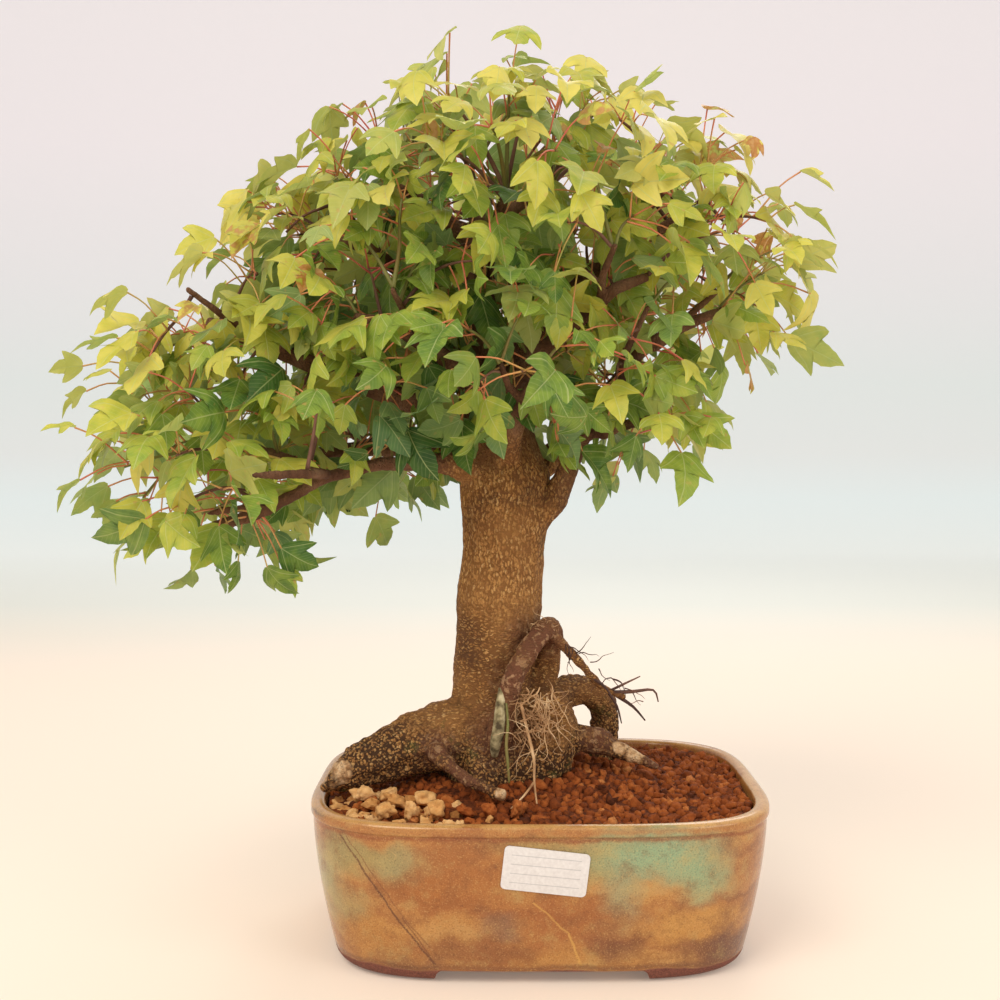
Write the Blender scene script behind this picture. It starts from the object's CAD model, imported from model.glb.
"""Looks of a trident maple bonsai in a glazed pot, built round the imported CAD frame.

Each sub-assembly is a class that models its pieces and dresses them. Places are worked out from the CAD
nodes' boxes, in metres; "pot space" means measured from the middle of the pot's foot plane, with X along the
pot's long side, -Y out of its labelled front and +Z up.
"""

import logging
import math
import random
from collections.abc import Callable, Iterable, Sequence
from dataclasses import dataclass
from enum import Enum
from functools import partial

import bmesh
import bpy
import numpy as np
from mathutils import Matrix, Vector, noise
from mathutils.bvhtree import BVHTree
from mathutils.geometry import intersect_point_line
from mathutils.kdtree import KDTree


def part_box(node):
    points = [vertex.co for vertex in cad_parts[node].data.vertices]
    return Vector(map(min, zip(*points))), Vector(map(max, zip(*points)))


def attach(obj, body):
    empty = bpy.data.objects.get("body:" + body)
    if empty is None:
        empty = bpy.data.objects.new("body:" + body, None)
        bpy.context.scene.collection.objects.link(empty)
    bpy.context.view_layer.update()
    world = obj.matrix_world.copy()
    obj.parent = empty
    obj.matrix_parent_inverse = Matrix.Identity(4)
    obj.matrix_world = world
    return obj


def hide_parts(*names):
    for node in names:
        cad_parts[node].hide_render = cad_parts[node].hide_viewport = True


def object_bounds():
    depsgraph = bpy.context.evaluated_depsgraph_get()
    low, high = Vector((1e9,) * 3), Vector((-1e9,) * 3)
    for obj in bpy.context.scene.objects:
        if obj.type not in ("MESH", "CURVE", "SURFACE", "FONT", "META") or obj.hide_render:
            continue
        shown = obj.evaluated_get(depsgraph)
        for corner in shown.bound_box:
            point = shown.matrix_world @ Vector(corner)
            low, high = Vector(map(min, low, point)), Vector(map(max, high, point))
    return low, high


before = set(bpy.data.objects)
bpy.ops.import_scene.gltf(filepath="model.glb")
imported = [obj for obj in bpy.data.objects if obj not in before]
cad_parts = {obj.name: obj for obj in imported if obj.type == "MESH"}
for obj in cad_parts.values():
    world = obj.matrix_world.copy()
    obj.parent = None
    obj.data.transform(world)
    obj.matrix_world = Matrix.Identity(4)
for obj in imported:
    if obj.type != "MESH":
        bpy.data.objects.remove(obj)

CAD_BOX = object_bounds()
MM = 0.001
UP = Vector((0, 0, 1))

log = logging.getLogger("bonsai")


# ---------------------------------------------------------------- places


def pot_centre() -> Vector:
    """Middle of the pot's foot plane, in the frame.

    Returns:
        The origin of pot space.
    """
    low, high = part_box("pot")
    return Vector(((low.x + high.x) / 2, (low.y + high.y) / 2, low.z))


HOME = pot_centre()
POT_LOW, POT_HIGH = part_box("pot")
RIM_Z = POT_HIGH.z


def from_pot(x: float, y: float, z: float) -> Vector:
    """Turns a point of pot space into the frame's."""
    return HOME + Vector((x, y, z))


# ---------------------------------------------------------------- nodes and colours


def linear(code: str) -> tuple[float, float, float, float]:
    """Turns an sRGB hex colour into a linear one.

    Args:
        code: Six hex digits, with or without a leading #.

    Returns:
        Red, green, blue and an alpha of 1.
    """
    shares = [int(code.lstrip("#")[i : i + 2], 16) / 255 for i in (0, 2, 4)]
    values = [s / 12.92 if s <= 0.04045 else ((s + 0.055) / 1.055) ** 2.4 for s in shares]
    return (*values, 1.0)


Socket = bpy.types.NodeSocket
Value = float | tuple | str | Socket | bpy.types.Node
AddNode = Callable[..., bpy.types.Node]


def add_node(
    tree: bpy.types.NodeTree, kind: str, inputs: dict[str | int, Value] | None = None,
    stops: Sequence[tuple[float, str]] = (), **settings: object,
) -> bpy.types.Node:
    """Adds a node with its settings and links.

    Args:
        tree: The node tree to add to.
        kind: The node's type, without its ShaderNode prefix.
        inputs: For each input by name or number, a constant, a hex colour, a socket to link, or a node
            whose first output is linked.
        stops: For a colour ramp, its (place, hex colour) pairs.
        **settings: The node's own properties.

    Returns:
        The new node.
    """
    node = tree.nodes.new(f"ShaderNode{kind}")
    for name, value in settings.items():
        setattr(node, name, value)
    for key, value in (inputs or {}).items():
        socket = node.inputs[key]
        if isinstance(value, bpy.types.Node):
            value = value.outputs[0]
        if isinstance(value, Socket):
            tree.links.new(value, socket)
        elif isinstance(value, str):
            socket.default_value = linear(value)
        else:
            socket.default_value = value
    if stops:
        elements = node.color_ramp.elements
        while len(elements) < len(stops):
            elements.new(0.5)
        for element, (place, code) in zip(elements, stops, strict=True):
            element.position = place
            element.color = linear(code)
    return node


def new_material(name: str) -> tuple[bpy.types.Material, AddNode]:
    """Makes an empty material of this name, and gives it with what adds its nodes."""
    material = bpy.data.materials.new(name)
    material.use_nodes = True
    material.node_tree.nodes.clear()
    return material, partial(add_node, material.node_tree)


def pot_space(add: AddNode) -> Value:
    """Object coordinates moved so that they are measured from the pot's centre.

    Args:
        add: Adds a node to the material.

    Returns:
        The moved coordinates.
    """
    place = add("TexCoord")
    moved = add("VectorMath", {0: place.outputs["Object"], 1: tuple(HOME)}, operation="SUBTRACT")
    return moved


# ---------------------------------------------------------------- finishes


@dataclass(frozen=True)
class Patch:
    """A soft-edged patch of another colour in the glaze, in pot space and millimetres."""

    centre: tuple[float, float, float]
    radii: tuple[float, float, float]
    colour: str
    strength: float = 0.85


@dataclass(frozen=True)
class Streak:
    """A thin line in the glaze over one stretch of the front wall, in millimetres from the pot's centre."""

    start: tuple[float, float]
    end: tuple[float, float]
    width: float
    colour: str
    strength: float


@dataclass(frozen=True)
class GlazedStoneware:
    """Wood-ash and iron glaze on stoneware, poured and fired: glossy, streaked and speckled.

    The iron gives ochre and red-brown, and thick ash pools pale green. Bare clay shows on the feet.
    """

    foot_height: float = 6 * MM
    patches: tuple[Patch, ...] = (
        Patch((-40, -88, 48), (34, 30, 16), "#A4622C", 0.75),
        Patch((4, -88, 30), (40, 30, 16), "#A05E2E", 0.70),
        Patch((72, -86, 26), (34, 34, 10), "#C18C46", 0.80),
        Patch((-84, -80, 20), (26, 34, 15), "#B9823F", 0.70),
        Patch((18, -88, 12), (40, 30, 7), "#B37A3A", 0.60),
        Patch((48, -88, 60), (42, 30, 13), "#8BA67F", 0.95),
        Patch((14, -88, 54), (20, 26, 9), "#969A68", 0.55),
        Patch((72, -86, 50), (18, 30, 13), "#8FA57C", 0.80),
        Patch((34, -88, 43), (12, 24, 14), "#8B9A78", 0.60),
        Patch((-66, -86, 55), (17, 26, 10), "#94A072", 0.58),
        Patch((-92, -80, 60), (14, 26, 9), "#9AA070", 0.50),
        Patch((-101, -60, 42), (14, 34, 20), "#949A6E", 0.70),
        Patch((-107, -52, 74), (12, 32, 4), "#4A423D", 0.80),
        Patch((-84, -84, 58), (20, 26, 9), "#9C8C55", 0.65),
        Patch((8, -88, 64), (34, 24, 6), "#8E8350", 0.50),
        Patch((-30, -88, 16), (30, 24, 10), "#8A5530", 0.65),
        Patch((-86, -78, 34), (14, 20, 9), "#8F9A6C", 0.50),
        Patch((-21, -88, 29), (11, 20, 8), "#7C5A48", 0.70),
        Patch((33, -88, 19), (14, 20, 12), "#6F4431", 0.80),
        Patch((93, -70, 14), (30, 34, 8), "#654032", 0.90),
        Patch((-66, -84, 9), (26, 20, 5), "#6E4430", 0.70),
        Patch((108, -30, 40), (12, 40, 34), "#A66C36", 0.70),
        Patch((106, 30, 30), (14, 34, 18), "#6A4636", 0.70),
        Patch((40, 88, 50), (44, 30, 18), "#8EA27A", 0.80),
        Patch((-50, 88, 24), (40, 30, 14), "#6F4733", 0.75),
        Patch((-30, 88, 56), (30, 30, 12), "#B9823F", 0.70),
        Patch((-108, 30, 50), (12, 34, 20), "#8B9A70", 0.60),
    )
    streaks: tuple[Streak, ...] = (
        Streak((-91, 67), (-48, 9), 0.70, "#5E3420", 0.80),
        Streak((-88, 67), (-46, 12), 0.45, "#7A4A2A", 0.55),
        Streak((-62, 32), (-50, 13), 0.50, "#6A3C24", 0.60),
        Streak((-4, 40), (12, 25), 0.60, "#D2A052", 0.60),
        Streak((12, 25), (17.5, 8), 0.80, "#D2A052", 0.75),
    )

    def _streak_mask(self, add: AddNode, place: Value, streak: Streak) -> Value:
        """Where one streak shows.

        Args:
            add: Adds a node to the material.
            place: Slightly wavy pot-space coordinates.
            streak: The streak.

        Returns:
            A mask from 0 to the streak's strength.
        """
        x, z = streak.start[0] * MM, streak.start[1] * MM
        run = Vector((streak.end[0] * MM - x, 0, streak.end[1] * MM - z))
        along = run.normalized()
        from_start = add("VectorMath", {0: place, 1: (x, 0, z)}, operation="SUBTRACT")
        reach = add("VectorMath", {0: from_start, 1: tuple(along)}, operation="DOT_PRODUCT")
        side = add("VectorMath", {0: from_start, 1: (along.z, 0, -along.x)}, operation="DOT_PRODUCT")
        width = streak.width * MM
        off = add("Math", {0: side.outputs["Value"]}, operation="ABSOLUTE")
        line = add("MapRange", {0: off, 1: width, 2: width * 0.3})
        middle = add(
            "Math", {0: reach.outputs["Value"], 1: run.length / 2, 2: run.length / 2}, operation="COMPARE",
        )
        split = add("SeparateXYZ", {0: place})
        front = add("Math", {0: split.outputs["Y"], 1: -0.05}, operation="LESS_THAN")
        both = add("Math", {0: line, 1: middle}, operation="MULTIPLY")
        shown = add("Math", {0: both, 1: front}, operation="MULTIPLY")
        faded = add("Math", {0: shown, 1: streak.strength}, operation="MULTIPLY")
        return faded

    def material(self) -> bpy.types.Material:
        """The glaze, with bare clay below foot_height.

        Returns:
            The material.
        """
        material, add = new_material("ash_glazed_stoneware")
        place = pot_space(add)
        wander = add("TexNoise", {"Vector": place, "Scale": 42.0, "Detail": 4.0, "Roughness": 0.62})
        shift = add("VectorMath", {0: wander.outputs["Color"], 1: (0.5, 0.5, 0.5)}, operation="SUBTRACT")
        small = add("VectorMath", {0: shift, "Scale": 0.028}, operation="SCALE")
        wavy = add("VectorMath", {0: place, 1: small}, operation="ADD")
        # Brush marks left as the pot turned: long flat streaks 3 mm high.
        flat = add("Mapping", {"Vector": wavy, "Scale": (14.0, 14.0, 75.0)})
        strokes = add("TexNoise", {"Vector": flat, "Scale": 1.0, "Detail": 5.0})
        base = add(
            "ValToRGB", {0: strokes},
            stops=[(0.30, "#85502A"), (0.44, "#A76C39"), (0.57, "#B98346"), (0.72, "#C99A5A")],
        )
        colour = base
        for patch in self.patches:
            moved = add(
                "Mapping",
                {
                    "Vector": wavy, "Location": tuple(c * MM for c in patch.centre),
                    "Scale": tuple(r * MM for r in patch.radii),
                },
                vector_type="TEXTURE",
            )
            away = add("VectorMath", {0: moved}, operation="LENGTH")
            mask = add(
                "MapRange", {0: away.outputs["Value"], 1: 1.35, 2: 0.25, 3: 0.0, 4: patch.strength},
                interpolation_type="SMOOTHSTEP",
            )
            colour = add("MixRGB", {0: mask, 1: colour, 2: patch.colour})
        # Mottling where the ash has run: brown and straw clouds 5 to 20 mm across.
        clouds = add("TexNoise", {"Vector": place, "Scale": 75.0, "Detail": 7.0, "Roughness": 0.66})
        thin = add("MapRange", {0: clouds, 1: 0.50, 2: 0.34, 3: 0.0, 4: 0.55})
        colour = add("MixRGB", {0: thin, 1: colour, 2: "#7A4A28"})
        pooled = add("MapRange", {0: clouds, 1: 0.54, 2: 0.72, 3: 0.0, 4: 0.50})
        colour = add("MixRGB", {0: pooled, 1: colour, 2: "#B9A062"})
        slight = add("VectorMath", {0: shift, "Scale": 0.005}, operation="SCALE")
        near = add("VectorMath", {0: place, 1: slight}, operation="ADD")
        for streak in self.streaks:
            mask = self._streak_mask(add, near, streak)
            colour = add("MixRGB", {0: mask, 1: colour, 2: streak.colour})
        split = add("SeparateXYZ", {0: near})
        height = split.outputs["Z"]
        # The glaze runs thin and red-brown in a line under the rim, and pale over its edge.
        rim = RIM_Z - HOME.z
        for middle, half, code, strength in (
            (rim - 6.6 * MM, 1.6 * MM, "#8A4524", 0.70), (rim - 3.2 * MM, 1.8 * MM, "#A86C38", 0.55),
            (rim - 0.3 * MM, 1.4 * MM, "#D2A468", 0.60),
            (self.foot_height + 1.5 * MM, 2.0 * MM, "#6B3E28", 0.60),
        ):
            off = add("Math", {0: height, 1: middle}, operation="SUBTRACT")
            size = add("Math", {0: off}, operation="ABSOLUTE")
            band = add("MapRange", {0: size, 1: half, 2: half * 0.2, 3: 0.0, 4: strength})
            broken = add("Math", {0: band, 1: strokes}, operation="MULTIPLY")
            doubled = add("Math", {0: broken, 1: 1.8}, operation="MULTIPLY")
            colour = add("MixRGB", {0: doubled, 1: colour, 2: code})
        # Iron specks 0.4 mm across, and pin holes.
        specks = add("TexNoise", {"Vector": place, "Scale": 1500.0, "Detail": 2.0})
        dark = add("MapRange", {0: specks, 1: 0.56, 2: 0.70, 3: 0.0, 4: 0.42})
        colour = add("MixRGB", {0: dark, 1: colour, 2: "#5A341F"})
        pale = add("MapRange", {0: specks, 1: 0.44, 2: 0.30, 3: 0.0, 4: 0.36})
        colour = add("MixRGB", {0: pale, 1: colour, 2: "#D9AE6A"})
        bare = add("MapRange", {0: height, 1: self.foot_height + 0.6 * MM, 2: self.foot_height - 0.4 * MM})
        clay = add("ValToRGB", {0: specks}, stops=[(0.35, "#5E3226"), (0.65, "#87503F")])
        colour = add("MixRGB", {0: bare, 1: colour, 2: clay})
        gloss = add("MapRange", {0: bare, 3: 0.20, 4: 0.80})
        peel = add("TexNoise", {"Vector": place, "Scale": 320.0, "Detail": 3.0})
        bump = add("Bump", {"Strength": 0.22, "Distance": 0.0006, "Height": peel})
        shader = add(
            "BsdfPrincipled", {"Base Color": colour, "Roughness": gloss, "IOR": 1.52, "Normal": bump},
        )
        add("OutputMaterial", {0: shader})
        return material


@dataclass(frozen=True)
class FiredClayGrains:
    """Akadama: granules of baked volcanic clay, matt, porous and dusty, each a little different."""

    name: str
    shades: tuple[tuple[float, str], ...]
    pore: float = 0.7 * MM

    def material(self) -> bpy.types.Material:
        """The clay, coloured by each grain's own shade attribute.

        Returns:
            The material.
        """
        material, add = new_material(self.name)
        place = add("TexCoord").outputs["Object"]
        shade = add("Attribute", attribute_name="shade")
        dust = add("TexNoise", {"Vector": place, "Scale": 0.35 / self.pore, "Detail": 5.0})
        mottle = add("MapRange", {0: dust, 1: 0.25, 2: 0.75, 3: -0.22, 4: 0.22})
        total = add("Math", {0: shade.outputs["Fac"], 1: mottle}, operation="ADD")
        colour = add("ValToRGB", {0: total}, stops=self.shades)
        pores = add("TexNoise", {"Vector": place, "Scale": 1 / self.pore, "Detail": 3.0})
        bump = add("Bump", {"Strength": 0.55, "Distance": 0.0008, "Height": pores})
        shader = add(
            "BsdfPrincipled",
            {"Base Color": colour, "Roughness": 0.92, "Specular IOR Level": 0.25, "Normal": bump},
        )
        add("OutputMaterial", {0: shader})
        return material


@dataclass(frozen=True)
class MapleBark:
    """Maple bark: tan corky plates in rows over dark inner bark, coarser and darker towards the roots."""

    name: str = "maple_bark"
    fleck: float = 1.45 * MM

    def _flecks(
        self,
        add: AddNode,
        place: Value,
        stretch: tuple[float, float, float],
        size: float,
        cover: float,
    ) -> tuple[Value, Value]:
        """Corky flecks that cover a share of the surface.

        Args:
            add: Adds a node to the material.
            place: Warped coordinates.
            stretch: How much finer the flecks are along each axis.
            size: Their size.
            cover: How far each fleck spreads in its cell, from 0 to 1.

        Returns:
            Their mask, and a random value for each.
        """
        moved = add("Mapping", {"Vector": place, "Scale": stretch})
        cells = add("TexVoronoi", {"Vector": moved, "Scale": 1 / size})
        mask = add("MapRange", {0: cells.outputs["Distance"], 1: cover, 2: cover * 0.62})
        parts = add("SeparateXYZ", {0: cells.outputs["Color"]})
        return mask, parts.outputs["X"]

    def material(self) -> bpy.types.Material:
        """The bark, from plated tan on the trunk to flecked dark roots, bared and reddened by its attributes.

        Returns:
            The material.
        """
        material, add = new_material(self.name)
        place = pot_space(add)
        height = add("SeparateXYZ", {0: place}).outputs["Z"]
        broad = add("TexNoise", {"Vector": place, "Scale": 34.0, "Detail": 5.0})
        wobble = add("MapRange", {0: broad, 3: -0.030, 4: 0.030})
        level = add("Math", {0: height, 1: wobble}, operation="ADD")
        root = add("MapRange", {0: level, 1: 0.120, 2: 0.096})
        banded = add("MapRange", {0: level, 1: 0.178, 2: 0.152})
        # Young bark on the limbs: above the trunk, or away from its axis.
        above = add("MapRange", {0: level, 1: 0.228, 2: 0.262})
        axis = add("VectorMath", {0: place, 1: (-0.018, 0.0, 0.0)}, operation="SUBTRACT")
        flat = add("VectorMath", {0: axis, 1: (1.0, 1.0, 0.0)}, operation="MULTIPLY")
        away = add("VectorMath", {0: flat}, operation="LENGTH").outputs["Value"]
        reach = add("MapRange", {0: away, 1: 0.026, 2: 0.040})
        lifted = add("MapRange", {0: height, 1: 0.175, 2: 0.195})
        far = add("Math", {0: reach, 1: lifted}, operation="MULTIPLY")
        limb = add("Math", {0: above, 1: far}, operation="MAXIMUM")
        bent = add("TexNoise", {"Vector": place, "Scale": 300.0, "Detail": 3.0})
        push = add("VectorMath", {0: bent.outputs["Color"], "Scale": 0.0034}, operation="SCALE")
        warped = add("VectorMath", {0: place, 1: push}, operation="ADD")
        upright, upright_tint = self._flecks(add, warped, (1.0, 1.0, 0.50), self.fleck * 0.80, 0.66)
        dashes, dash_tint = self._flecks(add, warped, (0.62, 0.62, 1.55), self.fleck, 0.52)
        knobs, knob_tint = self._flecks(add, warped, (1.0, 1.0, 1.0), self.fleck, 0.58)
        flecks = add("Mix", {0: banded, 2: upright, 3: dashes})
        flecks = add("Mix", {0: root, 2: flecks, 3: knobs})
        tint = add("Mix", {0: banded, 2: upright_tint, 3: dash_tint})
        tint = add("Mix", {0: root, 2: tint, 3: knob_tint})
        # Dark inner bark between the flecks, redder low down.
        inner = add("ValToRGB", {0: broad}, stops=[(0.32, "#63402A"), (0.50, "#80552E"), (0.70, "#946739")])
        deep = add("ValToRGB", {0: broad}, stops=[(0.32, "#2E1C10"), (0.50, "#452C19"), (0.68, "#5C3F25")])
        faint = add("Math", {0: banded, 1: 0.22}, operation="MULTIPLY")
        darker = add("Math", {0: root, 1: faint}, operation="MAXIMUM")
        ground = add("MixRGB", {0: darker, 1: inner, 2: deep})
        cork = add(
            "ValToRGB", {0: tint},
            stops=[(0.0, "#A2703F"), (0.35, "#B7824A"), (0.75, "#CB9758"), (1.0, "#DBAE72")],
        )
        patchy = add("TexNoise", {"Vector": place, "Scale": 62.0, "Detail": 3.0})
        kept = add("MapRange", {0: patchy, 1: 0.30, 2: 0.52, 3: 0.62, 4: 1.0})
        whole = add("Math", {0: flecks, 1: kept}, operation="MULTIPLY")
        # Each fleck is split into crumbs about 0.6 mm across.
        crumbs = add("TexNoise", {"Vector": place, "Scale": 1500.0, "Detail": 2.0})
        split = add("MapRange", {0: crumbs, 1: 0.34, 2: 0.48, 3: 0.55, 4: 1.0})
        shown = add("Math", {0: whole, 1: split}, operation="MULTIPLY")
        colour = add("MixRGB", {0: shown, 1: ground, 2: cork})
        twig = add("ValToRGB", {0: patchy}, stops=[(0.30, "#4E3324"), (0.50, "#74503A"), (0.70, "#8C6A50")])
        colour = add("MixRGB", {0: limb, 1: colour, 2: twig})
        # Broad dark and grey stains over the plates.
        stain = add("MapRange", {0: broad, 1: 0.50, 2: 0.30, 3: 0.0, 4: 0.40})
        colour = add("MixRGB", {0: stain, 1: colour, 2: "#5A3E26"})
        # Smooth reddish bark on the looped and lying roots, flaking to tan.
        red = add("Attribute", attribute_name="reddish").outputs["Fac"]
        flaky = add("MapRange", {0: bent, 1: 0.54, 2: 0.60})
        rind = add("MixRGB", {0: flaky, 1: "#704733", 2: "#A98260"})
        colour = add("MixRGB", {0: red, 1: colour, 2: rind})
        # Bared wood: pale and pinkish, streaked along the grain.
        bare = add("Attribute", attribute_name="peeled").outputs["Fac"]
        ragged = add("MapRange", {0: patchy, 1: 0.3, 2: 0.7, 3: -0.35, 4: 0.35})
        torn = add("Math", {0: bare, 1: ragged}, operation="ADD")
        open_wood = add("MapRange", {0: torn, 1: 0.55, 2: 0.72})
        wood = add("ValToRGB", {0: bent}, stops=[(0.30, "#8E6743"), (0.50, "#CFA679"), (0.70, "#E3C49B")])
        colour = add("MixRGB", {0: open_wood, 1: colour, 2: wood})
        # Moss in the damp hollows near the soil, and on the trunk's shaded side.
        damp = add("MapRange", {0: height, 1: 0.150, 2: 0.082})
        mossy = add("TexNoise", {"Vector": place, "Scale": 80.0, "Detail": 6.0, "Roughness": 0.65})
        moss = add("MapRange", {0: mossy, 1: 0.58, 2: 0.70, 3: 0.0, 4: 0.75})
        wet = add("Math", {0: moss, 1: damp}, operation="MULTIPLY")
        colour = add("MixRGB", {0: wet, 1: colour, 2: "#545C2A"})
        edge = add("NewGeometry")
        worn = add("MapRange", {0: edge.outputs["Pointiness"], 1: 0.42, 2: 0.49, 3: 0.70, 4: 0.0})
        colour = add("MixRGB", {0: worn, 1: colour, 2: "#24170D"})
        grit = add("TexNoise", {"Vector": place, "Scale": 1000.0, "Detail": 4.0})
        rough = add("Math", {0: shown, 1: grit}, operation="ADD")
        bump = add("Bump", {"Strength": 0.80, "Distance": 0.0009, "Height": rough})
        shader = add(
            "BsdfPrincipled",
            {"Base Color": colour, "Roughness": 0.84, "Specular IOR Level": 0.25, "Normal": bump},
        )
        add("OutputMaterial", {0: shader})
        return material


@dataclass(frozen=True)
class MapleLeafBlade:
    """A living maple leaf: thin, satin on top and paler below, with raised pale veins."""

    name: str = "maple_leaf_blade"
    vein_width: float = 0.014
    side_vein_angle: float = math.radians(43)

    def _line(self, add: AddNode, u: Value, v: Value, angle: float, width: float) -> Value:
        """A vein that leaves the stalk at an angle to the midrib, on both halves of the leaf.

        Args:
            add: Adds a node to the material.
            u: Place along the midrib, from 0 at the stalk to 1 at the tip.
            v: Distance from the midrib.
            angle: The vein's angle to the midrib.
            width: Half the vein's width, as a share of the leaf's length.

        Returns:
            A mask of the vein.
        """
        across = add("Math", {0: u, 1: math.sin(angle)}, operation="MULTIPLY")
        along = add("Math", {0: v, 1: math.cos(angle)}, operation="MULTIPLY")
        off = add("Math", {0: across, 1: along}, operation="SUBTRACT")
        size = add("Math", {0: off}, operation="ABSOLUTE")
        return add("MapRange", {0: size, 1: width, 2: width * 0.35})

    def material(self) -> bpy.types.Material:
        """The blade, from dark green to yellow-green by its tone attribute, browned by blemish.

        Returns:
            The material.
        """
        material, add = new_material(self.name)
        leaf = add("UVMap", uv_map="leaf")
        split = add("SeparateXYZ", {0: leaf})
        middle = add("Math", {0: split.outputs["Y"], 1: 0.5}, operation="SUBTRACT")
        half = add("Math", {0: middle}, operation="ABSOLUTE")
        u, v = split.outputs["X"], half
        midrib = add("MapRange", {0: v, 1: self.vein_width, 2: self.vein_width * 0.35})
        lobe = self._line(add, u, v, self.side_vein_angle, self.vein_width * 0.85)
        veins = add("Math", {0: midrib, 1: lobe}, operation="MAXIMUM")
        # Fine veins leave the midrib forwards, nine to a leaf.
        slant = add("Math", {0: u, 1: v}, operation="SUBTRACT")
        many = add("Math", {0: slant, 1: 11.0}, operation="MULTIPLY")
        step = add("Math", {0: many}, operation="FRACT")
        near = add("Math", {0: step, 1: 0.5}, operation="SUBTRACT")
        gap = add("Math", {0: near}, operation="ABSOLUTE")
        fine = add("MapRange", {0: gap, 1: 0.12, 2: 0.03, 3: 0.0, 4: 0.30})
        veins = add("Math", {0: veins, 1: fine}, operation="MAXIMUM")
        place = add("TexCoord").outputs["Object"]
        tone = add("Attribute", attribute_name="tone")
        cloud = add("TexNoise", {"Vector": place, "Scale": 140.0, "Detail": 3.0})
        uneven = add("MapRange", {0: cloud, 1: 0.3, 2: 0.7, 3: -0.10, 4: 0.10})
        total = add("Math", {0: tone.outputs["Fac"], 1: uneven}, operation="ADD")
        green = add(
            "ValToRGB", {0: total},
            stops=[
                (0.00, "#31572A"), (0.25, "#5A8038"), (0.50, "#9DB548"), (0.75, "#D4D156"),
                (1.00, "#F0E374"),
            ],
        )
        # Some leaves have a bluish bloom.
        bloom = add("Attribute", attribute_name="bloom")
        bluish = add("MixRGB", {0: bloom.outputs["Fac"], 1: green, 2: "#8AAA80"})
        share = add("Math", {0: veins, 1: 0.50}, operation="MULTIPLY")
        veined = add("MixRGB", {0: share, 1: bluish, 2: "#D6E09A"})
        # The underside is paler and bluer.
        side = add("NewGeometry")
        under = add("Math", {0: side.outputs["Backfacing"], 1: 0.38}, operation="MULTIPLY")
        colour = add("MixRGB", {0: under, 1: veined, 2: "#A5BC86"})
        # Tired leaves brown from their edge inwards.
        blemish = add("Attribute", attribute_name="blemish")
        blotch = add("TexNoise", {"Vector": place, "Scale": 260.0, "Detail": 3.0})
        spread = add("MapRange", {0: blotch, 1: 0.30, 2: 0.70, 3: -0.45, 4: 0.45})
        sick = add("Math", {0: blemish.outputs["Fac"], 1: spread}, operation="ADD")
        brown = add("MapRange", {0: sick, 1: 0.45, 2: 0.80})
        rust = add("ValToRGB", {0: blotch}, stops=[(0.35, "#A0622F"), (0.50, "#C98A4C"), (0.65, "#D9A96B")])
        colour = add("MixRGB", {0: brown, 1: colour, 2: rust})
        bump = add("Bump", {"Strength": 0.35, "Distance": 0.0006, "Height": veins})
        shader = add(
            "BsdfPrincipled",
            {
                "Base Color": colour, "Roughness": 0.40, "IOR": 1.42, "Specular IOR Level": 0.45,
                "Normal": bump,
            },
        )
        glow = add("BsdfTranslucent", {"Color": colour, "Normal": bump})
        both = add("MixShader", {0: 0.38, 1: shader, 2: glow})
        add("OutputMaterial", {0: both})
        return material


@dataclass(frozen=True)
class PlantSkin:
    """Smooth young bark, a leaf stalk or a fine root: waxy or corky skin in two mottled shades."""

    name: str
    shades: tuple[tuple[float, str], ...]
    roughness: float = 0.55
    mottle: float = 60.0

    def material(self) -> bpy.types.Material:
        """The skin.

        Returns:
            The material.
        """
        material, add = new_material(self.name)
        place = add("TexCoord").outputs["Object"]
        cloud = add("TexNoise", {"Vector": place, "Scale": self.mottle, "Detail": 4.0})
        colour = add("ValToRGB", {0: cloud}, stops=self.shades)
        grain = add("TexNoise", {"Vector": place, "Scale": 1400.0, "Detail": 2.0})
        bump = add("Bump", {"Strength": 0.4, "Distance": 0.0003, "Height": grain})
        shader = add("BsdfPrincipled", {"Base Color": colour, "Roughness": self.roughness, "Normal": bump})
        add("OutputMaterial", {0: shader})
        return material


class Finish(Enum):
    """The finishes that the pieces share."""

    GLAZE = GlazedStoneware()
    CLAY = FiredClayGrains(
        "akadama_clay",
        ((0.0, "#4C240F"), (0.30, "#7D3D17"), (0.60, "#9A5020"), (0.85, "#B0652F"), (1.0, "#C68046")),
    )
    PALE_STONE = FiredClayGrains(
        "pale_kiryu_pebble", ((0.0, "#8E5A2C"), (0.35, "#C0864A"), (0.65, "#D7A263"), (1.0, "#EBBF85")),
        pore=0.9 * MM,
    )
    BARK = MapleBark()
    LEAF = MapleLeafBlade()
    STALK = PlantSkin(
        "red_leaf_stalk", ((0.30, "#B7AC55"), (0.45, "#D39A5C"), (0.58, "#DB7C5A"), (0.72, "#D0605A")), 0.42,
        30.0,
    )
    GREEN_TWIG = PlantSkin(
        "green_young_twig", ((0.30, "#67552C"), (0.50, "#77793A"), (0.70, "#8C7640")), 0.55, 40.0,
    )
    BROWN_TWIG = PlantSkin("brown_twig_bark", ((0.30, "#4B2F22"), (0.55, "#765040"), (0.75, "#93705A")), 0.75)
    FINE_ROOT = PlantSkin(
        "dry_fine_root", ((0.30, "#936842"), (0.50, "#C89E70"), (0.70, "#EACDA2")), 0.8, 90.0
    )
    DARK_ROOT = PlantSkin("dark_aerial_root", ((0.30, "#2C1B16"), (0.55, "#513429"), (0.75, "#8A5F4A")), 0.75)
    MOSSY_ROOT = PlantSkin(
        "mossy_stub_root", ((0.34, "#4A3E28"), (0.46, "#7C6F4E"), (0.56, "#A3956F"), (0.68, "#C6B893")), 0.9, 240.0
    )
    MESH_PLASTIC = PlantSkin("black_polythene_mesh", ((0.30, "#0E0E0F"), (0.70, "#1B1B1C")), 0.5)


# ---------------------------------------------------------------- modelling by hand


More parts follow.
